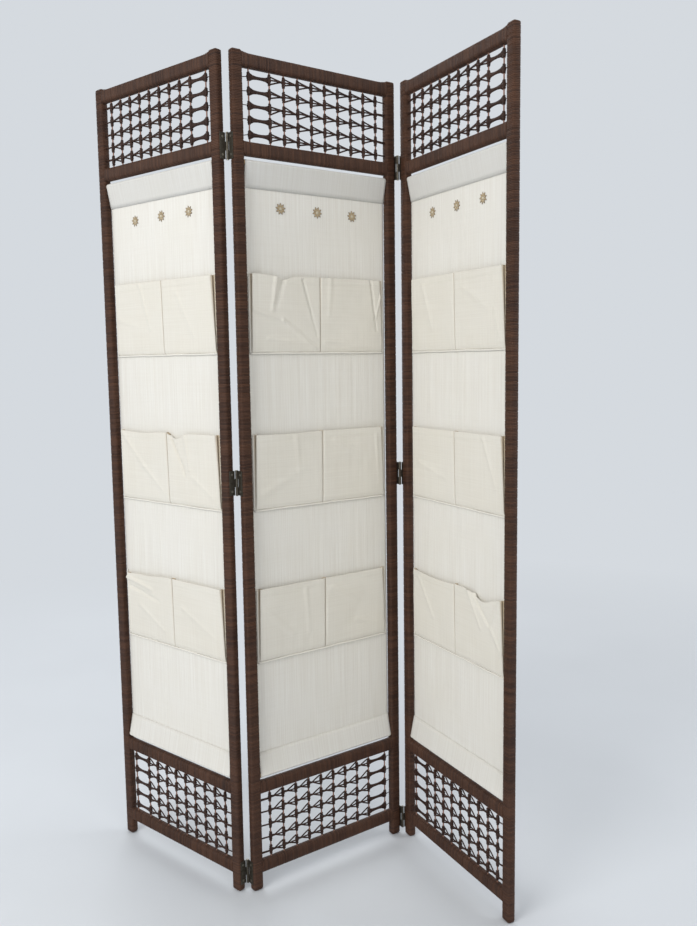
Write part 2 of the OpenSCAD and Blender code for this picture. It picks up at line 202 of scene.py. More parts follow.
class PanelPlace:
    """Turns a panel's own coordinates into the frame's: u runs along the panel from its left
    edge, w from its front face to its back, z up."""

    def __init__(self, panel):
        left, right = foot(panel, "left"), foot(panel, "right")
        run = (right - left)[:2]
        self.span = float(np.hypot(*run))
        self.along = np.array([run[0], run[1], 0.0]) / self.span
        self.back = np.array([-self.along[1], self.along[0], 0.0])
        self.origin = left - self.along * STILE_W / 2 - self.back * DEPTH / 2
        self.origin[2] = 0.0
        self.name = panel
        self.body = f"{panel}_panel"
        self.mirrored = panel != "centre"

    def world(self, points):
        """u along the panel, w along its back normal, z up, all added to the panel's corner."""
        points = np.asarray(points, float)
        return (
            self.origin
            + points[..., 0:1] * self.along
            + points[..., 1:2] * self.back
            + points[..., 2:3] * np.array([0.0, 0.0, 1.0])
        )

    def handed(self, u, lower):
        """The outer panels' weave is the mirror image of the centre panel's, and a lower
        lattice is the upper one end for end."""
        return PANEL_W - u if self.mirrored != lower else u


def measure():
    """Sizes of the centre panel, whose axes are the frame's own."""
    wrap_low, wrap_high = node_box("centre_panel_cane_wrap")
    stile_low, stile_high = node_box("centre_panel_left_stile")
    sizes = {
        "PANEL_W": wrap_high[0] - wrap_low[0],
        "DEPTH": wrap_high[1] - wrap_low[1],
        "STILE_W": stile_high[0] - stile_low[0] + 2 * CORE_INSET,
        "HEIGHT": stile_high[2],
    }
    levels = {}
    for rail in RAILS:
        low, high = node_box(f"centre_panel_{rail}")
        levels[rail] = (low[2] - CORE_INSET, high[2] + CORE_INSET)
    sizes["RAIL_LEVELS"] = levels
    cane_low, cane_high = node_box("centre_panel_lattice_canes")
    sizes["CANE_W"] = cane_high[1] - cane_low[1]
    rod_low, rod_high = node_box("centre_panel_curtain_rods")
    sizes["ROD_R"] = (rod_high[1] - rod_low[1]) / 2
    sizes["ROD_Z"] = (rod_low[2] + sizes["ROD_R"], rod_high[2] - sizes["ROD_R"])
    hem_low, hem_high = node_box("centre_panel_curtain_hems")
    cloth_low, cloth_high = node_box("centre_panel_curtain")
    sizes["CLOTH_U"] = (cloth_low[0] - wrap_low[0], cloth_high[0] - wrap_low[0])
    sizes["SHEET_W"] = cloth_low[1] - wrap_low[1]
    pockets = {}
    for row in ("upper", "middle", "lower"):
        low, high = node_box(f"centre_panel_{row}_pockets")
        pockets[row] = (
            low[0] - wrap_low[0],
            high[0] - wrap_low[0],
            low[2],
            high[2],
            low[1] - wrap_low[1],
        )
    sizes["POCKETS"] = pockets
    flower_low, flower_high = node_box("centre_panel_flowers")
    sizes["FLOWER_Z"] = (flower_low[2] + flower_high[2]) / 2
    sizes["FLOWER_R"] = (flower_high[2] - flower_low[2]) / 2
    sizes["FLOWER_U"] = (
        flower_low[0] - wrap_low[0] + sizes["FLOWER_R"],
        flower_high[0] - wrap_low[0] - sizes["FLOWER_R"],
    )
    return sizes


globals().update(measure())
PLACES = {panel: PanelPlace(panel) for panel in PANELS}
INNER = (STILE_W, PANEL_W - STILE_W)
MID = DEPTH / 2
HEADER = 47 * MM
FLOOR_FADE = (0.9, 3.2)
# painted shade multiplied onto the doubled header and hem of the curtain
HEADER_TONE = (0.86, 0.87, 0.89, 1.0)
# painted shade for the pocket gussets and the middle seam, a dark tan
FOLD_TONE = (0.4, 0.29, 0.16, 1.0)


# ---------------------------------------------------------------- meshes


def grid_quads(rows, columns, closed):
    """Quads of a grid of points: each joins a point to the next in its row and in the row
    above; a closed grid joins the last column to the first."""
    across = columns if closed else columns - 1
    r, c = np.meshgrid(np.arange(rows - 1), np.arange(across), indexing="ij")
    right = (c + 1) % columns
    quads = np.stack(
        [r * columns + c, r * columns + right, (r + 1) * columns + right, (r + 1) * columns + c], -1
    )
    return quads.reshape(-1, 4), np.stack([r, c], -1).reshape(-1, 2)


class Shape:
    """Vertices, faces and face-corner coordinates that are gathered before they are a mesh."""

    def __init__(self):
        self.points, self.quads, self.tris = [], [], []
        self.quad_uv, self.tri_uv = [], []
        self.count = 0

    def add_grid(self, points, uv, closed=False, caps=False, flip=False):
        """A grid of points with its own surface coordinates. A closed grid has one more
        column of coordinates than of points. Caps close the first and last row to a pole."""
        rows, columns = points.shape[:2]
        quads, cells = grid_quads(rows, columns, closed)
        corners = cells[:, None, :] + np.array([[0, 0], [0, 1], [1, 1], [1, 0]])
        quad_uv = uv[corners[..., 0], corners[..., 1]]
        if flip:
            quads, quad_uv = quads[:, ::-1], quad_uv[:, ::-1]
        start = self.count
        self.points.append(points.reshape(-1, 3))
        self.quads.append(quads + start)
        self.quad_uv.append(quad_uv)
        self.count += rows * columns
        if caps:
            c = np.arange(columns)
            after = (c + 1) % columns
            for row, swap in ((0, True), (rows - 1, False)):
                pole = points[row].mean(0)
                self.points.append(pole[None])
                ring = start + row * columns
                order = [ring + c, ring + after, np.full(columns, self.count)]
                tri = np.stack(order, -1)
                middle = uv[row, :columns].mean(0)
                tri_uv = np.stack(
                    [uv[row, c], uv[row, c + 1], np.broadcast_to(middle, (columns, 2))], 1
                )
                if swap != flip:
                    tri, tri_uv = tri[:, ::-1], tri_uv[:, ::-1]
                self.tris.append(tri)
                self.tri_uv.append(tri_uv)
                self.count += 1

    def add_tubes(self, paths, width, depth, sides, normal, turns_per_metre=120.0):
        """Elliptical tubes along many paths at once: a ring of points round each path point,
        half the width to each side and half the depth to front and back, ends closed."""
        paths = np.asarray(paths, float)
        amount, steps = paths.shape[:2]
        tangent = np.gradient(paths, axis=1)
        tangent /= np.linalg.norm(tangent, axis=2, keepdims=True)
        normal = np.broadcast_to(np.asarray(normal, float), paths.shape)
        side = np.cross(tangent, normal)
        side /= np.linalg.norm(side, axis=2, keepdims=True)
        front = np.cross(side, tangent)
        angle = np.linspace(0, 2 * np.pi, sides, endpoint=False)
        width = np.broadcast_to(width, (amount, steps))[..., None, None] / 2
        depth = np.broadcast_to(depth, (amount, steps))[..., None, None] / 2
        rings = (
            paths[:, :, None]
            + side[:, :, None] * np.cos(angle)[None, None, :, None] * width
            + front[:, :, None] * np.sin(angle)[None, None, :, None] * depth
        )
        length = np.concatenate(
            [np.zeros((amount, 1)), np.cumsum(np.linalg.norm(np.diff(paths, axis=1), axis=2), 1)], 1
        )
        u = np.linspace(0, 1, sides + 1)
        for number in range(amount):
            uv = np.stack(
                np.broadcast_arrays(u[None, :], length[number][:, None] * turns_per_metre + number * 7.3),
                -1,
            )
            self.add_grid(rings[number], uv, closed=True, caps=True)

    def make(self, name, place, finish, fold=None):
        """The gathered shape as one object at the origin, its place in its vertices."""
        points = np.concatenate(self.points)
        if place is not None:
            points = place.world(points)
        quads = np.concatenate(self.quads) if self.quads else np.zeros((0, 4), int)
        tris = np.concatenate(self.tris) if self.tris else np.zeros((0, 3), int)
        mesh = bpy.data.meshes.new(name)
        mesh.vertices.add(len(points))
        mesh.vertices.foreach_set("co", points.astype(np.float32).ravel())
        loops = np.concatenate([quads.ravel(), tris.ravel()])
        mesh.loops.add(len(loops))
        mesh.loops.foreach_set("vertex_index", loops.astype(np.int32))
        starts = np.concatenate([np.arange(len(quads)) * 4, len(quads) * 4 + np.arange(len(tris)) * 3])
        mesh.polygons.add(len(starts))
        mesh.polygons.foreach_set("loop_start", starts.astype(np.int32))
        layer = mesh.uv_layers.new(name="UVMap")
        uv = [part.reshape(-1, 2) for part in self.quad_uv + self.tri_uv]
        layer.data.foreach_set("uv", np.concatenate(uv).astype(np.float32).ravel())
        mesh.update(calc_edges=True)
        mesh.validate()
        mesh.polygons.foreach_set("use_smooth", np.ones(len(mesh.polygons), bool))
        # painted shade: a per-point share of painted shade, kept as a mesh attribute for the cloth's colour
        if fold is not None:
            mesh.attributes.new("fold", "FLOAT", "POINT").data.foreach_set("value", fold.ravel())
        made = bpy.data.objects.new(name, mesh)
        bpy.context.scene.collection.objects.link(made)
        mesh.materials.append(finish)
        return made


def outline(width, depth, radius):
    """A rounded rectangle about its own middle: four points on each corner arc and one
    halfway along each side, with outward normals and the share of the way round."""
    arc = np.radians([0, 30, 60, 90])
    points, normals = [], []
    for quarter in range(4):
        angle = arc + quarter * np.pi / 2
        sign = np.array([[1, 1], [-1, 1], [-1, -1], [1, -1]][quarter])
        middle = sign * (np.array([width, depth]) / 2 - radius)
        normal = np.stack([np.cos(angle), np.sin(angle)], -1)
        points.append(middle + radius * normal)
        normals.append(normal)
    points, normals = np.concatenate(points), np.concatenate(normals)
    ends = np.arange(3, 16, 4)
    halfway = (points[ends] + points[(ends + 1) % 16]) / 2
    points = np.insert(points, ends + 1, halfway, axis=0)
    normals = np.insert(normals, ends + 1, normals[ends], axis=0)
    steps = np.linalg.norm(np.roll(points, -1, axis=0) - points, axis=1)
    share = np.concatenate([[0], np.cumsum(steps)]) / steps.sum()
    return points, normals, share


def chance(number, seed):
    """A repeatable value from 0 to 1 for each whole number: the fraction of a large sine."""
    return np.mod(np.sin(number * 12.9898 + seed * 78.233) * 43758.5453, 1.0)


def wave_noise(x, y, seed, octaves=4, base=1.0):
    """Smooth random hills: a sum of sines in seeded directions, each finer and lower."""
    rng = np.random.default_rng(seed)
    total = np.zeros(np.broadcast(x, y).shape)
    for octave in range(octaves):
        scale = base * 1.8**octave
        for _ in range(3):
            turn, phase = rng.uniform(0, 2 * np.pi, 2)
            total += np.sin((x * np.cos(turn) + y * np.sin(turn)) * scale + phase) / 1.7**octave
    return total / 4


# ---------------------------------------------------------------- materials


class Finish:
    """A node material that is put together one node at a time around a Principled shader."""

    def __init__(self, name, **sockets):
        self.material = bpy.data.materials.new(name)
        self.material.use_nodes = True
        self.tree = self.material.node_tree
        self.shader = self.tree.nodes["Principled BSDF"]
        for socket, value in sockets.items():
            self.shader.inputs[socket.replace("_", " ")].default_value = value

    def node(self, kind, values=None, **links):
        """Adds a node, sets its attributes from values and links or sets its sockets."""
        made = self.tree.nodes.new("ShaderNode" + kind)
        for key, value in (values or {}).items():
            setattr(made, key, value)
        for key, value in links.items():
            key = int(key[1:]) if key[0] == "i" and key[1:].isdigit() else key.replace("_", " ")
            self.put(made.inputs[key], value)
        return made

    def put(self, socket, value):
        if isinstance(value, bpy.types.NodeSocket):
            self.tree.links.new(value, socket)
        else:
            socket.default_value = value

    def math(self, operation, a, b=0.0, c=0.0):
        return self.node("Math", {"operation": operation}, i0=a, i1=b, i2=c).outputs[0]

    def noise(self, vector, scale, detail=3.0, rough=0.5):
        return self.node(
            "TexNoise", Vector=vector, Scale=scale, Detail=detail, Roughness=rough
        ).outputs[0]

    def blend(self, share, a, b, mode="MIX"):
        made = self.tree.nodes.new("ShaderNodeMix")
        made.data_type, made.blend_type = "RGBA", mode
        for index, value in ((0, share), (6, a), (7, b)):
            self.put(made.inputs[index], value)
        return made.outputs[2]

    def span(self, value, low, high, new_low, new_high):
        return self.node("MapRange", i0=value, i1=low, i2=high, i3=new_low, i4=new_high).outputs[0]

    def stretched(self, source, scale):
        return self.node("Mapping", Vector=source, Scale=scale).outputs[0]

    def bump(self, height, strength, distance, under=None):
        made = self.node("Bump", Height=height, Strength=strength, Distance=distance)
        if under is not None:
            self.put(made.inputs["Normal"], under)
        return made.outputs[0]

    def end(self, colour=None, rough=None, normal=None):
        for socket, value in (("Base Color", colour), ("Roughness", rough), ("Normal", normal)):
            if value is not None:
                self.put(self.shader.inputs[socket], value)
        return self.material

    def place(self, what="Object"):
        return self.node("TexCoord").outputs[what]


def rgba(colour, factor=1.0):
    return (*[min(1.0, value * factor) for value in colour[:3]], 1.0)


def wound_cane_finish(name, dark, light, fleck):
    """Wound paper cane: the surface coordinate is the share of the way round and the number
    of turns along, so turns less share counts strands. Each strand has its own tone, with painted
    shade in the groove at its two edges, and fibres running along the strand."""
    f = Finish(name, Roughness=0.6, Specular_IOR_Level=0.28)
    split = f.node("SeparateXYZ", Vector=f.place("UV"))
    strand = f.math("SUBTRACT", split.outputs[1], split.outputs[0])
    tone = f.node("TexWhiteNoise", {"noise_dimensions": "1D"}, W=f.math("FLOOR", strand)).outputs[0]
    edge = f.math("PINGPONG", strand, 0.5)
    # painted shade mask: one in the groove at a strand's two edges, nought in the strand's middle
    groove = f.span(edge, 0.0, 0.2, 1.0, 0.0)
    spot = f.place()
    cloud = f.noise(spot, 14.0, 4.0, 0.6)
    streak = f.noise(
        f.node("CombineXYZ", X=f.math("MULTIPLY", split.outputs[0], 9.0), Y=f.math("MULTIPLY", strand, 3.5)).outputs[0],
        1.0,
        4.0,
        0.65,
    )
    share = f.math("ADD", f.math("MULTIPLY", tone, 0.3), f.math("MULTIPLY", cloud, 0.7))
    colour = f.blend(f.span(share, 0.2, 0.8, 0.0, 1.0), rgba(dark), rgba(light))
    colour = f.blend(f.span(streak, 0.58, 0.78, 0.0, 0.3), colour, rgba(fleck))
    # painted shade: the groove at each strand's two edges is darkened towards a deep brown
    colour = f.blend(f.math("MULTIPLY", groove, 0.6), colour, rgba(dark, 0.32))
    normal = f.bump(streak, 0.5, 0.0006)
    normal = f.bump(f.math("SINE", f.math("MULTIPLY", edge, math.pi)), 0.5, 0.0008, normal)
    return f.end(colour, f.span(streak, 0.3, 0.7, 0.5, 0.72), normal)


def cane_finish(name, dark, light):
    """Bare cane: long fine grain up the rod with darker joints."""
    f = Finish(name, Roughness=0.45, Specular_IOR_Level=0.4)
    spot = f.place()
    grain = f.noise(f.stretched(spot, (900.0, 900.0, 25.0)), 1.0, 5.0, 0.6)
    joint = f.noise(f.stretched(spot, (3.0, 3.0, 40.0)), 1.0, 1.0)
    colour = f.blend(f.span(grain, 0.35, 0.65, 0.0, 1.0), rgba(dark), rgba(light))
    colour = f.blend(f.span(joint, 0.56, 0.68, 0.0, 0.6), colour, rgba(dark, 0.45))
    return f.end(colour, f.span(grain, 0.3, 0.7, 0.38, 0.58), f.bump(grain, 0.3, 0.0004))


def cloth_finish(name, colour, weave, slub, contrast=0.05, doubled=None):
    """Plain-woven cotton: warp and weft are two sines of the sheet's own metres, crossed;
    slubs are noise drawn out along the warp, and a slow cloud evens out the tone. Painted
    shade darkens the doubled ends and, through a mesh attribute, the pocket gussets."""
    f = Finish(name, Roughness=0.88, Specular_IOR_Level=0.2, Sheen_Weight=0.25, Sheen_Roughness=0.6)
    split = f.node("SeparateXYZ", Vector=f.place("UV"))
    warp = f.math("SINE", f.math("MULTIPLY", split.outputs[0], weave))
    weft = f.math("SINE", f.math("MULTIPLY", split.outputs[1], weave))
    cross = f.math("MULTIPLY", warp, weft)
    source = f.place("UV")
    thread = f.noise(f.stretched(source, (420.0, 5.0, 1.0)), 1.0, 3.0, 0.6)
    pick = f.noise(f.stretched(source, (6.0, 500.0, 1.0)), 1.0, 3.0, 0.6)
    cloud = f.noise(source, 9.0, 3.0)
    tone = f.math("ADD", f.math("MULTIPLY", thread, slub), f.math("MULTIPLY", pick, 1.0 - slub))
    low = rgba([value * (1 - contrast * (1 + 0.3 * index)) for index, value in enumerate(colour)])
    shade = f.blend(f.span(tone, 0.35, 0.62, 0.0, 1.0), low, rgba(colour, 1.03))
    stain = rgba([colour[0] * 0.9, colour[1] * 0.86, colour[2] * 0.76])
    shade = f.blend(f.span(cloud, 0.35, 0.7, 0.0, 0.16), shade, stain)
    if doubled:
        # painted shade: doubled cloth lets less light through than single cloth, so the header with the cloth over the
        # top rod, and more weakly the lower hem, are darkened in the colour
        first = f.math("LESS_THAN", split.outputs[1], doubled[0])
        last = f.math("MULTIPLY", f.math("GREATER_THAN", split.outputs[1], doubled[1]), 0.3)
        shade = f.blend(f.math("MAXIMUM", first, last), shade, HEADER_TONE, "MULTIPLY")
    # painted shade: the pocket cloth is darkened in its gussets by the mesh attribute
    fold = f.node("Attribute", {"attribute_name": "fold"}).outputs["Fac"]
    shade = f.blend(f.math("MULTIPLY", fold, 0.8), shade, FOLD_TONE)
    normal = f.bump(tone, 0.25, 0.0006)
    normal = f.bump(cross, 0.25, 0.00015, normal)
    return f.end(shade, f.span(tone, 0.3, 0.7, 0.8, 0.95), normal)


def thread_finish(name, dark, light):
    """Embroidery thread: fine parallel lines across the surface coordinate."""
    f = Finish(name, Roughness=0.42, Specular_IOR_Level=0.5, Sheen_Weight=0.3)
    split = f.node("SeparateXYZ", Vector=f.place("UV"))
    line = f.math("PINGPONG", f.math("MULTIPLY", split.outputs[0], 14.0), 1.0)
    cloud = f.noise(f.place(), 600.0, 3.0)
    colour = f.blend(f.math("MULTIPLY", line, 0.8), rgba(dark), rgba(light))
    colour = f.blend(f.span(cloud, 0.4, 0.7, 0.0, 0.5), colour, rgba(dark, 0.7))
    return f.end(colour, None, f.bump(line, 0.6, 0.0002))


def metal_finish(name, colour, rough, tarnish):
    """Old hinge metal: brushed lines, with dull brown tarnish in a cloud."""
    f = Finish(name, Metallic=0.85, Roughness=rough, Specular_IOR_Level=0.5)
    spot = f.place()
    brush = f.noise(f.stretched(spot, (300.0, 300.0, 2500.0)), 1.0, 3.0)
    cloud = f.noise(spot, 160.0, 5.0, 0.65)
    shade = f.blend(f.span(cloud, 0.42, 0.66, 0.0, 0.85), rgba(colour), rgba(tarnish))
    shade = f.blend(f.span(brush, 0.4, 0.7, 0.0, 0.25), shade, rgba(colour, 0.6))
    return f.end(shade, f.span(cloud, 0.3, 0.7, rough - 0.1, rough + 0.25), f.bump(brush, 0.12, 0.0002))


def wood_finish(name, dark, light):
    """Pale turned wood with its grain along the rod."""
    f = Finish(name, Roughness=0.5, Specular_IOR_Level=0.4)
    grain = f.noise(f.stretched(f.place(), (35.0, 35.0, 700.0)), 1.0, 5.0, 0.6)
    colour = f.blend(f.span(grain, 0.35, 0.65, 0.0, 1.0), rgba(dark), rgba(light))
    return f.end(colour, None, f.bump(grain, 0.2, 0.0003))


# ---------------------------------------------------------------- settings


def colour_setting(name, description, default):
    return FloatVectorProperty(
        name=name, description=description, default=default, subtype="COLOR", min=0.0, max=1.0
    )


def length_setting(name, description, default):
    return FloatProperty(name=name, description=description, default=default, unit="LENGTH", min=0.0)


class WrapSettings(bpy.types.PropertyGroup):
    """The cane that is wound round the bars."""

    pitch: length_setting("Strand pitch", "Width of one turn of cane", 0.003)
    ridge: length_setting("Ridge height", "Depth of the groove between two turns", 0.0006)
    dark: colour_setting("Dark cane", "Darkest tone of the wound cane", (0.026, 0.0105, 0.006))
    light: colour_setting("Light cane", "Lightest tone of the wound cane", (0.1, 0.044, 0.023))
    fleck: colour_setting("Worn cane", "Tone of worn fibres", (0.17, 0.085, 0.05))


class LatticeSettings(bpy.types.PropertyGroup):
    """The woven lattices at the top and bottom of a panel."""

    strand: length_setting("Strand width", "Width of a woven strand", 0.0034)
    collar: length_setting("Collar radius", "Radius of the strand wound round a cane", 0.0034)
    rows: IntProperty(name="Rows", description="Rows of weave in a lattice", default=5, min=1, max=8)
    dark: colour_setting("Dark strand", "Darkest tone of the woven strands", (0.018, 0.0075, 0.005))
    light: colour_setting("Light strand", "Lightest tone of the woven strands", (0.06, 0.027, 0.017))
    cane: colour_setting("Bare cane", "Tone of the upright canes", (0.2, 0.085, 0.045))


class CurtainSettings(bpy.types.PropertyGroup):
    """The curtain stretched between two rods."""

    waist: length_setting("Waist", "How far each side is drawn in at half height", 0.0008)
    ripple: length_setting("Ripple", "Height of the soft upright ripples", 0.0012)
    colour: colour_setting("Cloth", "Colour of the curtain cloth", (0.75, 0.735, 0.685))


class PocketSettings(bpy.types.PropertyGroup):
    """The rows of sewn pockets."""

    stand: length_setting("Stand", "How far the pocket front stands off the curtain", 0.0072)
    hem: length_setting("Hem", "Height of the folded top hem", 0.014)
    colour: colour_setting("Cloth", "Colour of the pocket cloth", (0.72, 0.695, 0.625))
    piping: colour_setting("Piping", "Colour of the bound lower edge", (0.76, 0.74, 0.68))


class FlowerSettings(bpy.types.PropertyGroup):
    """The embroidered flowers."""

    petals: IntProperty(name="Petals", description="Petals of a flower", default=9, min=5, max=16)
    gold: colour_setting("Gold thread", "Colour of the petals", (0.56, 0.43, 0.25))
    brown: colour_setting("Brown thread", "Colour of the outlines", (0.2, 0.13, 0.07))
    pale: colour_setting("Pale thread", "Colour of the flower's middle", (0.72, 0.64, 0.47))


class MetalSettings(bpy.types.PropertyGroup):
    """Hinges, pins, screws and rods."""

    leaf: colour_setting("Hinge leaf", "Colour of the hinge leaves", (0.11, 0.1, 0.08))
    pin: colour_setting("Hinge pin", "Colour of the hinge pins", (0.36, 0.34, 0.29))


class StageSettings(bpy.types.PropertyGroup):
    """Floor, lights and camera."""

    floor: colour_setting("Floor", "Colour of the floor", (0.62, 0.645, 0.675))
    wall: colour_setting("Backdrop", "Colour behind the screen", (0.665, 0.70, 0.74))
    lens: FloatProperty(name="Lens", description="Focal length on a 36 mm sensor", default=34.92)


SETTINGS = {
    "wrap": WrapSettings,
    "lattice": LatticeSettings,
    "curtain": CurtainSettings,
    "pocket": PocketSettings,
    "flower": FlowerSettings,
    "metal": MetalSettings,
    "stage": StageSettings,
}


def settings(name):
    return getattr(bpy.context.scene, "divider_" + name)


def finishes(name, build):
    """A material by name, built the first time it is asked for."""
    return bpy.data.materials.get(name) or build(name)


# ---------------------------------------------------------------- wound bars


def wound_bar(width, depth, radius, length, round_end, seed, flare=0.0):
    """A bar wound with cane, along its own length: a rounded outline carried along, raised by
    a cosine of turns less the share round, with every sixth groove deeper and each strand its
    own height. The ends round off by a quarter circle and close to a pole."""
    wrap = settings("wrap")
    pitch, ridge = wrap.pitch, wrap.ridge
    shape, normal, share = outline(width, depth, radius)
    rows = int(length / pitch * 5)
    s = np.linspace(0, length, rows)
    inset = np.zeros(rows)
    for from_end in (s, length - s):
        near = np.clip(1 - from_end / round_end, 0, 1)
        inset = np.maximum(inset, round_end * (1 - np.sqrt(1 - near**2)))
    turn = s[:, None] / pitch - share[None, :-1]
    strand = np.floor(turn)
    wind = 0.5 - 0.5 * np.cos(2 * np.pi * turn)
    height = (0.72 + 0.28 * chance(strand, seed)) * wind
    group = np.mod(turn + 40 * chance(np.floor(turn / 60), seed + 3) * 0, 6.0)
    splice = np.exp(-((np.minimum(group, 6 - group) / 0.3) ** 2))
    drop = ridge * (1 - height) + ridge * 0.9 * splice
    sway = 0.00018 * wave_noise(s[:, None] * 9, share[None, :-1] * 5, seed, 3)
    pull = inset[:, None] + drop + np.abs(sway)
    across = shape[None] - normal[None] * pull[..., None]
    if flare:
        far = np.minimum(s, length - s)[:, None]
        rise = flare * np.exp(-((far / 0.011) ** 2))
        across[..., 1] += rise * (shape[None, :, 1] > 0)
    grid = np.concatenate([across, np.broadcast_to(s[:, None, None], (*across.shape[:2], 1))], -1)
    uv = np.stack(np.broadcast_arrays(share[None, :], s[:, None] / pitch), -1)
    cap = grid[-1:].copy()
    base = grid[:1].copy()
    for ring, rise in ((cap, 1), (base, -1)):
        ring[..., :2] *= 0.55
        ring[..., 2] += rise * 0.0004
    grid = np.concatenate([base, grid, cap])
    uv = np.concatenate([uv[:1] - [0, 1.2], uv, uv[-1:] + [0, 1.2]])
    return grid, uv


class DIVIDER_OT_wound_bars(bpy.types.Operator):
    """Stiles and rails wound with strands of brown cane"""

    bl_idname = "divider.wound_bars"
    bl_label = "Wound bars"

    def execute(self, context):
        wrap = settings("wrap")
        finish = finishes(
            "wound_cane", lambda name: wound_cane_finish(name, wrap.dark, wrap.light, wrap.fleck)
        )
        for order, (panel, place) in enumerate(PLACES.items()):
            for side, middle in (("left", STILE_W / 2), ("right", PANEL_W - STILE_W / 2)):
                seed = 11 + order * 7 + len(side)
                grid, uv = wound_bar(STILE_W, DEPTH, 5 * MM, HEIGHT - 0.0008, 4.5 * MM, seed)
                grid[..., 2] += 0.0004
                grid[..., 0] += middle
                grid[..., 1] += MID
                shape = Shape()
                shape.add_grid(grid, uv, closed=True, caps=True)
                stile = shape.make(f"{panel}_{side}_stile_wound", place, finish)
                self.dress(stile, place, f"{panel}_panel_{side}_stile")
            for number, rail in enumerate(RAILS):
                low, high = RAIL_LEVELS[rail]
                length = INNER[1] - INNER[0] + 5 * MM
                flare = 2.4 * MM if rail == "top_rail" else 0.9 * MM
                seed = 31 + order * 5 + number
                grid, uv = wound_bar(DEPTH, high - low, 7 * MM, length, 1.5 * MM, seed, flare)
                turned = np.stack(
                    [grid[..., 2] + INNER[0] - 2.5 * MM, grid[..., 0] + MID, grid[..., 1] + (low + high) / 2],
                    -1,
                )
                shape = Shape()
                shape.add_grid(turned, uv, closed=True, caps=True)
                piece = shape.make(f"{panel}_{rail}_wound", place, finish)
                self.dress(piece, place, f"{panel}_panel_{rail}")
        return {"FINISHED"}

    def dress(self, piece, place, node):
        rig.ride(piece, place.body)
        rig.replaces(piece, node, f"{place.body}_cane_wrap")
        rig.slot(piece, "cane")


# ---------------------------------------------------------------- lattice


def cane_places():
    """Middle of each upright cane across the centre panel, from the gaps between clusters of
    the canes' own vertices."""
    mesh = frame["nodes"]["centre_panel_lattice_canes"].data
    points = np.empty(len(mesh.vertices) * 3, np.float32)
    mesh.vertices.foreach_get("co", points)
    upper = points[2::3] > HEIGHT / 2
    across = np.unique(np.round(points[::3][upper].astype(float), 5))
    groups = np.split(across, np.nonzero(np.diff(across) > CANE_W)[0] + 1)
    start = node_box("centre_panel_cane_wrap")[0][0]
    return np.array([(group[0] + group[-1]) / 2 - start for group in groups])


def lattice_strands(canes, low, high, rows, seed):
    """Strand paths of one lattice, with their width and depth. A fan strand eases from its
    height on one cane to the row's height on the next; a bow strand draws in to the row's
    middle between two canes; a thread runs on to the stile."""
    rng = np.random.default_rng(seed)
    pitch = (high - low) / rows
    t = np.linspace(0, 1, 6)[None, :]
    ease = t * t * (3 - 2 * t)
    paths, widths = [], []

    def run(u0, u1, z0, z1, w0, w1, width, curve=0.0):
        u0, u1, z0, z1, w0, w1 = (np.atleast_1d(v)[:, None] for v in (u0, u1, z0, z1, w0, w1))
        u = u0 + (u1 - u0) * t
        z = z0 + (z1 - z0) * np.clip(t * (1 + curve), 0, 1)
        w = w0 + (w1 - w0) * ease
        paths.append(np.stack(np.broadcast_arrays(u, w, z), -1))
        widths.append(np.broadcast_to(width, u.shape))

    front, back = MID - 2.4 * MM, MID + 2.4 * MM
    for row in range(rows):
        middle = low + (row + 0.5) * pitch + rng.normal(0, 0.7 * MM, len(canes))
        start, stop = canes[1:-1], canes[2:]
        for lift, w0, w1 in ((9.2, back, front), (0.6, front, front), (-7.6, front, back)):
            shift = rng.normal(0, 0.8 * MM, len(start))
            run(start, stop, middle[1:-1] + lift * MM + shift, middle[2:], w0, w1, 0.95, 0.3)
        for share in (-1.0, -0.5, 0.0, 0.5, 1.0):
            u = np.linspace(canes[0], canes[1], 9)[None, :]
            far = np.abs(np.linspace(-1, 1, 9))[None, :]
            flare = np.where(np.linspace(-1, 1, 9) < 0, 7.6, 5.6)[None, :] * MM
            z = middle[0] + share * (1.7 * MM + (flare - 1.7 * MM) * far**3.2)
            line = np.stack(np.broadcast_arrays(u, MID - 1.6 * MM + 1.2 * MM * share**2, z), -1)
            bow = np.stack([np.interp(np.linspace(0, 8, 6), np.arange(9), line[0, :, k]) for k in range(3)], -1)
            paths.append(bow[None])
            widths.append(np.full((1, 6), 0.86))
        slant = rng.normal(0, 1.8 * MM)
        run(canes[0], INNER[0] - 1 * MM, middle[0], middle[0] + slant, MID - 2 * MM, MID, 0.5)
        for lift in (0.0, rng.uniform(-7, 7)):
            end = middle[-1] + lift * MM * 0.5
            run(canes[-1], INNER[1] + 1 * MM, middle[-1] + lift * 0.3 * MM, end, front, MID, 0.8)
    return np.concatenate(paths), np.concatenate(widths)


def collar(radius, reach, seed):
    """A strand wound round a cane: a cylinder whose radius swells by a bell at the middle and
    rises and falls with each turn."""
    z = np.linspace(-1, 1, 9)[:, None]
    angle = np.linspace(0, 2 * np.pi, 8, endpoint=False)[None, :]
    swell = radius * (1 + 0.25 * np.exp(-((z / 0.3) ** 2)) - 0.2 * np.abs(z) ** 5)
    coil = 0.16 * radius * np.sin(angle + z * 11 + seed)
    r = swell + coil
    points = np.stack(np.broadcast_arrays(r * np.cos(angle), r * np.sin(angle), z * reach), -1)
    uv = np.stack(np.broadcast_arrays(np.linspace(0, 1, 9)[None, :], z * reach * 420 + seed), -1)
    return points, uv


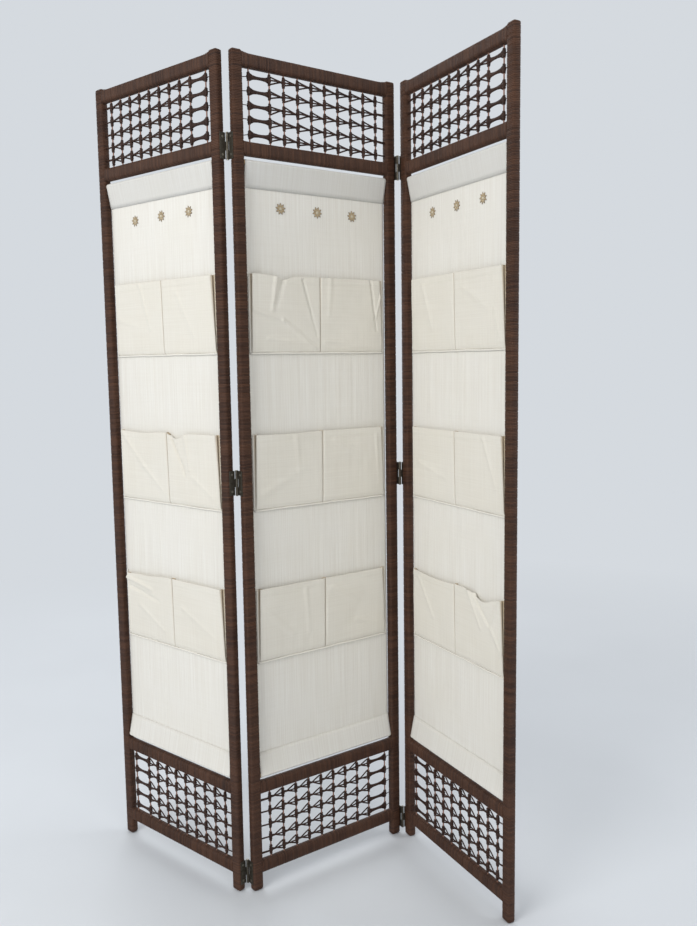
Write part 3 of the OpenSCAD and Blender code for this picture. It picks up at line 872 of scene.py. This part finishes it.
class DIVIDER_OT_lattice(bpy.types.Operator):
    """Strands woven and wound round the upright canes of the lattices"""

    bl_idname = "divider.lattice"
    bl_label = "Woven lattice"

    def execute(self, context):
        lattice = settings("lattice")
        strand = finishes(
            "woven_strand",
            lambda name: wound_cane_finish(name, lattice.dark, lattice.light, rgba(lattice.light, 1.6)),
        )
        bare = finishes("bare_cane", lambda name: cane_finish(name, rgba(lattice.cane, 0.5), lattice.cane))
        canes = cane_places()
        gaps = (
            ("upper", RAIL_LEVELS["upper_rail"][1], RAIL_LEVELS["top_rail"][0]),
            ("lower", RAIL_LEVELS["bottom_rail"][1], RAIL_LEVELS["lower_rail"][0]),
        )
        for order, (panel, place) in enumerate(PLACES.items()):
            shape = Shape()
            for number, (_, low, high) in enumerate(gaps):
                seed = 100 + order * 10 + number
                paths, widths = lattice_strands(canes, low, high, lattice.rows, seed)
                paths[..., 0] = place.handed(paths[..., 0], number == 1)
                normal = (0.0, 1.0, 0.0)
                width = widths * lattice.strand
                shape.add_tubes(paths, width, width * 0.8, 8, normal)
                pitch = (high - low) / lattice.rows
                for row in range(lattice.rows):
                    z = low + (row + 0.5) * pitch
                    for index, u in enumerate(place.handed(canes, number == 1)):
                        reach = (8.2 if index == 0 else 10.4) * MM
                        points, uv = collar(lattice.collar, reach, order * 3.1 + row * 1.7 + index)
                        shape.add_grid(points + [u, MID, z], uv, closed=True, caps=True)
            weave = shape.make(f"{panel}_lattice_woven", place, strand)
            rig.ride(weave, place.body)
            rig.replaces(weave, f"{place.body}_lattice_weave")
            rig.slot(weave, "cane")
            frame["nodes"][f"{place.body}_lattice_canes"].data.materials.clear()
            frame["nodes"][f"{place.body}_lattice_canes"].data.materials.append(bare)
        return {"FINISHED"}


# ---------------------------------------------------------------- curtain


def curtain_path():
    """The cloth's line from front hem to front hem, seen from the side: down the slope of the
    header from the sheet to the rod, round the rod, down the back, round the lower rod, and
    up the lower slope. Returned as evenly spaced points and the length."""
    radius = ROD_R + 0.6 * MM
    low, high = ROD_Z
    arc = np.linspace(0, np.pi, 25)
    top = np.stack([MID - np.cos(arc) * radius, high + np.sin(arc) * radius], -1)
    bottom = np.stack([MID + np.cos(arc) * radius, low - np.sin(arc) * radius], -1)
    start = np.array([[MID + radius - 1.3 * MM, high - HEADER]])
    stop = np.array([[MID + radius - 1.3 * MM, low + HEADER]])
    line = np.concatenate([start, top, bottom, stop])
    steps = np.concatenate([[0], np.cumsum(np.linalg.norm(np.diff(line, axis=0), axis=1))])
    even = np.unique(
        np.concatenate(
            [
                np.linspace(0, steps[-1], 150),
                np.linspace(steps[1] - 0.004, steps[25] + 0.004, 30),
                np.linspace(steps[26] - 0.004, steps[50] + 0.004, 30),
            ]
        )
    )
    return even, np.interp(even, steps, line[:, 0]), np.interp(even, steps, line[:, 1]), steps[-1]


class DIVIDER_OT_curtains(bpy.types.Operator):
    """Curtains stretched between two rods, with doubled header and hem"""

    bl_idname = "divider.curtains"
    bl_label = "Curtains"

    def execute(self, context):
        """Each point is at its share across and its length along the side line; the sides
        draw in as a parabola over the height, and upright ripples are seeded sines of the
        share across, faded out at the rods."""
        curtain = settings("curtain")
        length, side_w, side_z, total = curtain_path()
        # where the painted shade of the doubled ends stops: the header with the cloth over the top rod, and the lower
        # hem
        ends = (HEADER + 2 * ROD_R, total - HEADER)
        cloth = finishes("curtain_cotton", lambda name: cloth_finish(name, curtain.colour, 5200.0, 0.8, 0.065, ends))
        low, high = ROD_Z
        left, right = CLOTH_U[0] - 1.5 * MM, CLOTH_U[1] + 2.2 * MM
        width = right - left
        for order, (panel, place) in enumerate(PLACES.items()):
            share = np.linspace(0, 1, 91)[None, :]
            z = side_z[:, None]
            rise = np.clip((z - low) / (high - low), 0, 1)
            free = np.clip(4 * rise * (1 - rise), 0, 1) ** 0.5
            draw = curtain.waist * 4 * rise * (1 - rise)
            u = left + draw + (width - 2 * draw) * share
            ripple = wave_noise(share * 60, rise * 0.6, 5 + order, 4) * (0.25 + 0.75 * free)
            fine = np.sin(share * 420 + wave_noise(share * 9, rise * 2, 9 + order) * 3) * 0.18
            header = (length[:, None] < HEADER) | (length[:, None] > total - HEADER)
            lift = curtain.ripple * (ripple + fine) * np.where(header, 0.35, 1.0)
            w = side_w[:, None] - np.abs(lift) * np.where(header, -1.0, 0.6)
            points = np.stack(np.broadcast_arrays(u, w, z + 0 * share), -1)
            uv = np.stack(np.broadcast_arrays(share * width + order * 0.7, length[:, None] + 0 * share), -1)
            shape = Shape()
            shape.add_grid(points, uv)
            sheet = shape.make(f"{panel}_curtain_cloth", place, cloth)
            thick = sheet.modifiers.new("cloth", "SOLIDIFY")
            thick.thickness = 0.0007
            thick.offset = 0.0
            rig.ride(sheet, place.body)
            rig.replaces(sheet, f"{place.body}_curtain", f"{place.body}_curtain_hems")
            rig.slot(sheet, "curtain_cloth")
            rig.sheet(sheet, flat=(width, total), held="stretched", rests_on=[f"{place.body}_curtain_rods"])
        return {"FINISHED"}


# ---------------------------------------------------------------- pockets

# Creases of single pockets: where each starts and ends as shares of the pocket's width and
# height, its half width and its height in millimetres. Below nought it is a fold inwards.
CREASES = {
    ("centre", "upper", 0): (
        (0.36, 1.0, 0.30, 0.55, 6.0, 2.4),
        (0.46, 1.0, 0.36, 0.62, 7.0, -3.4),
        (0.02, 0.56, 0.45, 0.42, 7.0, 1.8),
        (0.45, 0.42, 0.92, 0.06, 7.0, 1.8),
        (0.74, 0.96, 0.95, 0.22, 3.0, -2.6),
        (0.25, 0.18, 0.8, 0.12, 8.0, 1.1),
    ),
    ("centre", "upper", 1): (
        (0.78, 1.0, 0.88, 0.3, 2.6, -4.0),
        (0.97, 0.9, 0.86, 0.45, 3.0, 2.0),
        (0.08, 0.15, 0.4, 0.13, 5.0, 0.9),
        (0.15, 1.0, 0.13, 0.5, 8.0, 1.2),
    ),
    ("centre", "middle", 0): ((0.1, 0.2, 0.7, 0.5, 14.0, 1.0), (0.6, 0.95, 0.65, 0.4, 9.0, 0.8)),
    ("centre", "middle", 1): ((0.2, 0.85, 0.8, 0.55, 13.0, 1.0), (0.85, 0.9, 0.9, 0.2, 5.0, 0.9)),
    ("centre", "lower", 0): ((0.1, 0.7, 0.5, 0.3, 12.0, 1.2), (0.7, 0.9, 0.75, 0.3, 8.0, 0.9)),
    ("centre", "lower", 1): ((0.1, 0.85, 0.5, 0.6, 12.0, 1.2), (0.5, 0.3, 0.9, 0.2, 9.0, 1.0)),
    ("left", "upper", 0): ((0.55, 1.0, 0.75, 0.35, 6.0, 1.6), (0.1, 0.5, 0.5, 0.4, 9.0, 1.0)),
    ("left", "upper", 1): ((0.3, 0.8, 0.6, 0.2, 10.0, 1.0),),
    ("left", "middle", 0): ((0.1, 0.95, 0.5, 0.5, 9.0, 1.6), (0.5, 0.5, 0.9, 0.15, 8.0, 1.2)),
    ("left", "middle", 1): (
        (0.1, 0.98, 0.34, 0.42, 5.0, -4.4),
        (0.36, 1.0, 0.42, 0.5, 5.0, 2.6),
        (0.5, 0.4, 0.85, 0.15, 9.0, 1.2),
    ),
    ("left", "lower", 0): (
        (0.05, 0.92, 0.55, 0.78, 8.0, 3.2),
        (0.1, 0.78, 0.7, 0.62, 7.0, -2.2),
        (0.3, 0.5, 0.8, 0.2, 9.0, 1.2),
    ),
    ("left", "lower", 1): ((0.2, 0.6, 0.8, 0.3, 10.0, 1.0),),
    ("right", "upper", 0): ((0.3, 0.9, 0.5, 0.3, 10.0, 1.0),),
    ("right", "upper", 1): ((0.2, 0.8, 0.7, 0.5, 12.0, 1.0), (0.8, 0.5, 0.9, 0.1, 7.0, 1.0)),
    ("right", "middle", 0): ((0.2, 0.5, 0.8, 0.35, 11.0, 1.1),),
    ("right", "middle", 1): ((0.6, 0.95, 0.85, 0.3, 7.0, 1.3),),
    ("right", "lower", 0): ((0.2, 0.9, 0.5, 0.4, 8.0, 1.4),),
    ("right", "lower", 1): (
        (0.42, 1.0, 0.74, 0.62, 7.0, -4.6),
        (0.74, 0.62, 0.95, 0.3, 6.0, 2.6),
        (0.3, 1.0, 0.55, 0.55, 6.0, 2.2),
        (0.9, 1.0, 0.8, 0.7, 5.0, 2.0),
    ),
}
# How far the top edge of single pockets sags: the place across, its half width, the drop in mm
SAGS = {
    ("centre", "upper", 0): ((0.47, 0.1, 8.0), (0.1, 0.12, -2.0)),
    ("centre", "middle", 0): ((0.5, 0.3, 2.0),),
    ("left", "middle", 1): ((0.2, 0.14, 12.0),),
    ("left", "lower", 0): ((0.0, 0.3, 9.0), (0.5, 0.25, 5.0)),
    ("left", "middle", 0): ((0.5, 0.3, 4.0),),
    ("right", "lower", 0): ((0.6, 0.4, 4.0),),
    ("right", "lower", 1): ((0.62, 0.2, 15.0),),
}


def pocket_front(panel, row, half, x, y, size):
    """Height of the cloth over its flat front: for each crease the distance to a segment
    gives a bell across it, faded towards its lower end; a slow swell is added."""
    width, height = size
    lift = np.zeros(np.broadcast(x, y).shape)
    for x0, y0, x1, y1, half_width, rise in CREASES.get((panel, row, half), ()):
        start = np.array([x0 * width, y0 * height])
        run = np.array([x1 * width, y1 * height]) - start
        along = ((x - start[0]) * run[0] + (y - start[1]) * run[1]) / (run @ run)
        near = np.clip(along, 0, 1)
        away = np.hypot(x - start[0] - near * run[0], y - start[1] - near * run[1])
        bell = np.exp(-((away / (half_width * MM * 0.62)) ** 2))
        lift += 1.35 * rise * MM * bell * (1 - 0.5 * near)
    seed = sum(map(ord, panel + row)) + half
    lift += 0.001 * wave_noise(x * 38, y * 34, seed, 4)
    return lift


def pocket_row(panel, row):
    """One row of two pockets as a single sheet. Across, the cloth starts at the curtain, comes
    out in a gusset, runs over the first front, dips to the seam, runs over the second front
    and goes back; up, it leaves the curtain at the bound edge over a rounded foot and ends in
    a doubled hem."""
    pocket = settings("pocket")
    left, right, low, high, _ = POCKETS[row]
    middle, tall = (left + right) / 2, high - low
    seat = SHEET_W - 0.9 * MM
    up = np.concatenate([np.linspace(0, 0.09, 10)[:-1], np.linspace(0.09, 0.9, 58), np.linspace(0.9, 1, 12)[1:]])
    t = up[:, None]
    out = (middle - left) - 0.6 * MM
    # across one pocket: distance from its outer end, share of the stand, for its folds
    fold_u = np.array([0.0, 1.0, 11.0, 12.5, 4.6, 3.6, 5.2, 9.0]) * MM
    fold_w = np.array([0.0, 0.02, 0.10, 0.22, 0.60, 0.82, 0.97, 1.0])
    end_u = np.array([7.0, 3.0, 0.6, 0.2, 1.6, 5.0, 4.6, 0.0]) * MM
    knot_u = np.concatenate([fold_u, out - end_u[:4], out - end_u[4:7], [middle - left]])
    knot_w = np.concatenate([fold_w, [1.0, 0.98, 0.84, 0.6, 0.3, 0.14, 0.05, 0.0]])
    steps = np.ones(len(knot_u) - 1)
    steps[7] = 44.0
    at = np.concatenate([[0], np.cumsum(steps)])
    fine = np.concatenate([np.linspace(0, 7, 15)[:-1], np.linspace(7, 51, 60)[:-1], np.linspace(51, at[-1], 15)])
    near_u, near_w = np.interp(fine, at, knot_u), np.interp(fine, at, knot_w)
    share_u = np.concatenate([near_u, (right - left) - near_u[::-1][1:]])[None, :]
    share_w = np.concatenate([near_w, near_w[::-1][1:]])[None, :]
    # the front's outer corners draw in towards the top, and open the gussets beside them
    far_in = np.minimum(share_u, right - left - share_u)
    draw = t**1.3 * np.exp(-((far_in / (16 * MM)) ** 2)) * np.clip((share_w - 0.4) / 0.4, 0, 1)
    u = left + share_u + np.where(share_u < middle - left, 2.5 * MM * draw, -8 * MM * draw)
    half = (np.arange(share_u.shape[1]) >= len(fine))[None, :].astype(int)
    front = np.clip((share_w - 0.8) / 0.2, 0, 1)
    foot = np.sqrt(np.clip(1 - (1 - np.clip(t / 0.09, 0, 1)) ** 2, 0, 1))
    gape = 0.5 + 0.5 * t**0.8
    stand = pocket.stand * foot * gape * share_w
    lift = np.zeros(stand.shape)
    sag = np.zeros(stand.shape)
    for index in (0, 1):
        x = u - (left if index == 0 else middle)
        size = (middle - left, tall)
        part = pocket_front(panel, row, index, x + 0 * t, t * tall + 0 * x, size)
        lift = np.where(half == index, part, lift)
        for place_x, reach, drop in SAGS.get((panel, row, index), ()):
            bell = np.exp(-(((x / size[0] - place_x) / reach) ** 2))
            sag += np.where(half == index, drop * MM * bell, 0)
    lift = lift * front * foot
    hem_line = 1 - pocket.hem / tall
    hem = np.where(t > hem_line, 0.35 * MM, 0) * front
    w = seat - stand - lift - hem
    w = np.clip(w, 0.9 * MM, seat)
    z = low + 3.4 * MM + (tall - 3.4 * MM) * t - sag * t**3
    points = np.stack(np.broadcast_arrays(u, w, z), -1)
    uv = np.stack(np.broadcast_arrays(np.cumsum(np.hypot(np.diff(share_u, prepend=0), np.diff(share_w * pocket.stand, prepend=0)), axis=1), z), -1)
    shape = Shape()
    shape.add_grid(points, uv)
    # painted shade: the gusset cloth and the dip to the middle seam, not the outer 2 mm, darker towards the top where
    # the gusset opens wider
    hidden = np.clip((0.92 - share_w) / 0.3, 0, 1) * np.clip((share_u - 2 * MM) / MM, 0, 1)
    hidden = hidden * np.clip((right - left - share_u - 2 * MM) / MM, 0, 1) * (0.35 + 0.65 * t)
    flat = (right - left + 2 * pocket.stand + 4 * MM, tall + pocket.hem)
    return shape, flat, hidden.astype(np.float32)


class DIVIDER_OT_pockets(bpy.types.Operator):
    """Rows of two sewn pockets with gussets, seam, doubled hem and bound lower edge"""

    bl_idname = "divider.pockets"
    bl_label = "Pocket rows"

    def execute(self, context):
        pocket = settings("pocket")
        cloth = finishes("pocket_cotton", lambda name: cloth_finish(name, pocket.colour, 4600.0, 0.5))
        piping = finishes("piping_cotton", lambda name: cloth_finish(name, pocket.piping, 9000.0, 0.4))
        for panel, place in PLACES.items():
            for row in POCKETS:
                left, right, low, high, _ = POCKETS[row]
                shape, flat, hidden = pocket_row(panel, row)
                sheet = shape.make(f"{panel}_{row}_pocket_cloth", place, cloth, hidden)
                thick = sheet.modifiers.new("cloth", "SOLIDIFY")
                thick.thickness = 0.0009
                thick.offset = 0.0
                edge = Shape()
                u = np.linspace(left + 0.5 * MM, right - 0.5 * MM, 60)
                seat = SHEET_W - 2.4 * MM
                wander = 0.0005 * wave_noise(u * 60, u * 0, 3)
                line = np.stack([u, np.full(60, seat), low + 1.9 * MM + wander], -1)
                edge.add_tubes(line[None], 3.8 * MM, 4.4 * MM, 8, (0.0, 1.0, 0.0))
                z = np.linspace(low + 2 * MM, high - 3 * MM, 60)
                for at in (left + 0.4 * MM, right - 0.4 * MM):
                    side = np.stack([np.full(60, at), np.full(60, seat + 0.4 * MM), z], -1)
                    edge.add_tubes(side[None], 3.0 * MM, 2.0 * MM, 8, (0.0, 1.0, 0.0))
                bound = edge.make(f"{panel}_{row}_pocket_piping", place, piping)
                for piece in (sheet, bound):
                    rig.ride(piece, place.body)
                    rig.replaces(piece, f"{place.body}_{row}_pockets")
                    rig.slot(piece, "pocket_cloth")
                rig.sheet(
                    sheet,
                    flat=flat,
                    held="stretched",
                    rests_on=[f"{panel}_curtain_cloth"],
                    with_pieces=[bound],
                )
        return {"FINISHED"}


# ---------------------------------------------------------------- flowers


def petal(reach, half_width, rise):
    """A petal of satin stitch: a leaf outline along its length, domed across it."""
    t = np.linspace(0, 1, 9)[:, None]
    a = np.linspace(0, 2 * np.pi, 12, endpoint=False)[None, :]
    wide = half_width * np.sin(np.pi * t**0.75) ** 0.7 + 0.15 * MM
    y = (0.26 + 0.74 * t) * reach
    x = wide * np.cos(a)
    h = rise * (0.35 + 0.65 * np.sin(np.pi * t)) * np.sin(a)
    points = np.stack(np.broadcast_arrays(x, y + 0 * a, h), -1)
    uv = np.stack(np.broadcast_arrays(np.linspace(0, 1, 13)[None, :], t), -1)
    return points, uv


def knot(radius, rise):
    """A flattened ball with a beaded surface for the middle of a flower."""
    p = np.linspace(0.12, np.pi - 0.12, 9)[:, None]
    a = np.linspace(0, 2 * np.pi, 16, endpoint=False)[None, :]
    r = radius * np.sin(p) * (1 + 0.07 * np.sin(a * 6 + p * 5))
    points = np.stack(np.broadcast_arrays(r * np.cos(a), r * np.sin(a), -rise * np.cos(p)), -1)
    uv = np.stack(np.broadcast_arrays(np.linspace(0, 1, 17)[None, :], p), -1)
    return points, uv


class DIVIDER_OT_flowers(bpy.types.Operator):
    """Embroidered flowers in gold and brown thread"""

    bl_idname = "divider.flowers"
    bl_label = "Embroidered flowers"

    def execute(self, context):
        flower = settings("flower")
        gold = finishes("gold_thread", lambda name: thread_finish(name, rgba(flower.gold, 0.6), flower.gold))
        brown = finishes("brown_thread", lambda name: thread_finish(name, rgba(flower.brown, 0.6), flower.brown))
        pale = finishes("pale_thread", lambda name: thread_finish(name, rgba(flower.pale, 0.7), flower.pale))
        middle = sum(FLOWER_U) / 2
        spots = (FLOWER_U[0], middle, FLOWER_U[1])
        seat = SHEET_W - 0.5 * MM
        for order, (panel, place) in enumerate(PLACES.items()):
            parts = {"gold": (Shape(), gold), "brown": (Shape(), brown), "pale": (Shape(), pale)}
            for index, u in enumerate(spots):
                z = FLOWER_Z + (chance(index + 5.0, order) - 0.5) * 2 * MM
                for number in range(flower.petals):
                    turn = 2 * np.pi * number / flower.petals + 0.4 * index
                    cos, sin = math.cos(turn), math.sin(turn)
                    for kind, reach, wide, rise in (
                        ("brown", FLOWER_R, 2.2 * MM, 0.5 * MM),
                        ("gold", FLOWER_R - 1.1 * MM, 1.9 * MM, 1.1 * MM),
                    ):
                        points, uv = petal(reach, wide, rise)
                        x = points[..., 0] * cos - points[..., 1] * sin
                        y = points[..., 0] * sin + points[..., 1] * cos
                        spun = np.stack([u + x, seat - points[..., 2], z + y], -1)
                        parts[kind][0].add_grid(spun, uv, closed=True, caps=True)
                points, uv = knot(3.1 * MM, 1.5 * MM)
                spun = np.stack([u + points[..., 0], seat - points[..., 2], z + points[..., 1]], -1)
                parts["pale"][0].add_grid(spun, uv, closed=True, caps=True)
            for kind, (shape, finish) in parts.items():
                piece = shape.make(f"{panel}_flowers_{kind}", place, finish)
                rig.ride(piece, place.body)
                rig.replaces(piece, f"{place.body}_flowers")
                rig.slot(piece, "thread")
        return {"FINISHED"}


# ---------------------------------------------------------------- hardware


class DIVIDER_OT_hardware(bpy.types.Operator):
    """Finishes for the hinges, screws, rods and pins, whose shapes are the CAD's own"""

    bl_idname = "divider.hardware"
    bl_label = "Hinges and rods"

    def execute(self, context):
        metal = settings("metal")
        leaf = finishes("hinge_metal", lambda name: metal_finish(name, metal.leaf, 0.42, (0.06, 0.045, 0.03)))
        pin = finishes("pin_metal", lambda name: metal_finish(name, metal.pin, 0.32, (0.14, 0.11, 0.08)))
        wood = finishes("rod_wood", lambda name: wood_finish(name, (0.3, 0.19, 0.1), (0.5, 0.35, 0.21)))
        dressed = {"hinge_pins": pin, "screws": pin, "leaves": leaf, "rods": wood, "joint_pins": wood}
        for name, node in frame["nodes"].items():
            for word, finish in dressed.items():
                if word in name:
                    node.data.materials.clear()
                    node.data.materials.append(finish)
                    break
        return {"FINISHED"}


# ---------------------------------------------------------------- stage


def lamp(name, spot, target, size, power, colour):
    light = bpy.data.lights.new(name, "AREA")
    light.shape, light.size, light.energy, light.color = "DISK", size, power, colour
    made = bpy.data.objects.new(name, light)
    bpy.context.scene.collection.objects.link(made)
    made.location = spot
    made.rotation_euler = (Vector(target) - Vector(spot)).to_track_quat("-Z", "Y").to_euler()
    return made


class DIVIDER_OT_stage(bpy.types.Operator):
    """Pale floor, soft studio light and the camera"""

    bl_idname = "divider.stage"
    bl_label = "Stage"

    def execute(self, context):
        stage = settings("stage")
        scene = context.scene
        scene.view_settings.view_transform = "Standard"
        self.floor(stage)
        self.world(scene, stage)
        lamp("left_lamp", (-3.6, -0.9, 2.6), (0, 0, 0.9), 2.4, 92, (1.0, 0.99, 0.97))
        lamp("right_lamp", (3.4, -2.0, 2.4), (0, 0, 0.9), 2.4, 42, (0.97, 0.985, 1.0))
        lamp("front_lamp", (-0.8, -4.0, 3.0), (0, 0, 0.9), 2.6, 30, (1.0, 0.98, 0.95))
        lamp("back_lamp", (0.6, 3.2, 3.0), (0, 0, 0.9), 2.6, 60, (0.95, 0.98, 1.0))
        self.camera(scene, stage)
        return {"FINISHED"}

    def floor(self, stage):
        """A square grid in one plane. Its material goes over to the backdrop's own colour with
        the distance from the screen, as a paper sweep does."""
        across = np.linspace(-30, 30, 9)
        x, y = np.meshgrid(across, across)
        shape = Shape()
        shape.add_grid(np.stack([x, y, np.full(x.shape, -0.0005)], -1), np.stack([x, y], -1))
        f = Finish("floor_paper", Roughness=0.75, Specular_IOR_Level=0.15)
        spot = f.place()
        cloud = f.noise(spot, 1.3, 3.0)
        shade = f.blend(f.span(cloud, 0.3, 0.7, 0.0, 1.0), rgba(stage.floor, 0.97), rgba(stage.floor, 1.03))
        f.end(shade, None, f.bump(cloud, 0.05, 0.01))
        far = f.node("VectorMath", {"operation": "LENGTH"}, i0=spot).outputs["Value"]
        glow = f.node("Emission", Color=rgba(stage.wall), Strength=1.0)
        mix = f.node("MixShader", i0=f.span(far, *FLOOR_FADE, 0.0, 1.0), i1=f.shader.outputs[0], i2=glow.outputs[0])
        f.put(f.tree.nodes["Material Output"].inputs[0], mix.outputs[0])
        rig.stage(shape.make("floor", None, f.material))

    def world(self, scene, stage):
        """The world lights the screen at a plain level, and shows its own colour to the camera,
        to gloss and through glass."""
        world = bpy.data.worlds.new("studio")
        scene.world = world
        world.use_nodes = True
        tree = world.node_tree
        tree.nodes.clear()
        path = tree.nodes.new("ShaderNodeLightPath")
        seen = tree.nodes.new("ShaderNodeMath")
        seen.operation = "MAXIMUM"
        tree.links.new(path.outputs["Is Camera Ray"], seen.inputs[0])
        also = tree.nodes.new("ShaderNodeMath")
        also.operation = "MAXIMUM"
        tree.links.new(path.outputs["Is Glossy Ray"], also.inputs[0])
        tree.links.new(path.outputs["Is Transmission Ray"], also.inputs[1])
        tree.links.new(also.outputs[0], seen.inputs[1])
        light = tree.nodes.new("ShaderNodeBackground")
        light.inputs[0].default_value = (0.95, 0.97, 1.0, 1.0)
        light.inputs[1].default_value = 0.58
        shown = tree.nodes.new("ShaderNodeBackground")
        shown.inputs[0].default_value = rgba(stage.wall)
        shown.inputs[1].default_value = 1.0
        mix = tree.nodes.new("ShaderNodeMixShader")
        end = tree.nodes.new("ShaderNodeOutputWorld")
        tree.links.new(seen.outputs[0], mix.inputs[0])
        tree.links.new(light.outputs[0], mix.inputs[1])
        tree.links.new(shown.outputs[0], mix.inputs[2])
        tree.links.new(mix.outputs[0], end.inputs[0])

    def camera(self, scene, stage):
        """Stands at eye height to the left of the screen, turned to the right, tilted down a
        little and rolled by less than a degree."""
        yaw, pitch, roll = (math.radians(value) for value in (36.206, 6.418, -0.808))
        ahead = Vector((math.sin(yaw), math.cos(yaw), 0)) * math.cos(pitch) - Vector((0, 0, math.sin(pitch)))
        right = Vector((math.cos(yaw), -math.sin(yaw), 0))
        up = right.cross(ahead)
        side = right * math.cos(roll) + up * math.sin(roll)
        top = up * math.cos(roll) - right * math.sin(roll)
        data = bpy.data.cameras.new("camera")
        data.sensor_width = 36.0
        data.lens = stage.lens
        made = bpy.data.objects.new("camera", data)
        scene.collection.objects.link(made)
        turn = Matrix((side, top, -ahead)).transposed()
        made.matrix_world = Matrix.Translation((-1.0320, -1.5591, 1.1044)) @ turn.to_4x4()
        scene.camera = made


# ---------------------------------------------------------------- panel and start

OPERATORS = (
    DIVIDER_OT_stage,
    DIVIDER_OT_wound_bars,
    DIVIDER_OT_lattice,
    DIVIDER_OT_curtains,
    DIVIDER_OT_pockets,
    DIVIDER_OT_flowers,
    DIVIDER_OT_hardware,
)


class DIVIDER_PT_sidebar(bpy.types.Panel):
    """Lists the screen's pieces and their settings"""

    bl_idname = "DIVIDER_PT_sidebar"
    bl_label = "Folding screen"
    bl_space_type = "VIEW_3D"
    bl_region_type = "UI"
    bl_category = "Screen"

    def draw(self, context):
        for operator in OPERATORS:
            self.layout.operator(operator.bl_idname)
        for name, group in SETTINGS.items():
            box = self.layout.box()
            for key in group.__annotations__:
                box.prop(getattr(context.scene, "divider_" + name), key)


CLASSES = (*SETTINGS.values(), *OPERATORS, DIVIDER_PT_sidebar)


def register():
    for item in CLASSES:
        bpy.utils.register_class(item)
    for name, group in SETTINGS.items():
        setattr(bpy.types.Scene, "divider_" + name, PointerProperty(type=group))


def unregister():
    for name in SETTINGS:
        delattr(bpy.types.Scene, "divider_" + name)
    for item in reversed(CLASSES):
        bpy.utils.unregister_class(item)


def main():
    register()
    for operator in OPERATORS:
        _, verb = operator.bl_idname.split(".")
        getattr(bpy.ops.divider, verb)()
    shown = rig.bounds()
    with open("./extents.json", "w") as out:
        json.dump({"cad": [list(c) for c in CAD_BOX], "visual": [list(c) for c in shown]}, out)


if __name__ == "__main__":
    main()
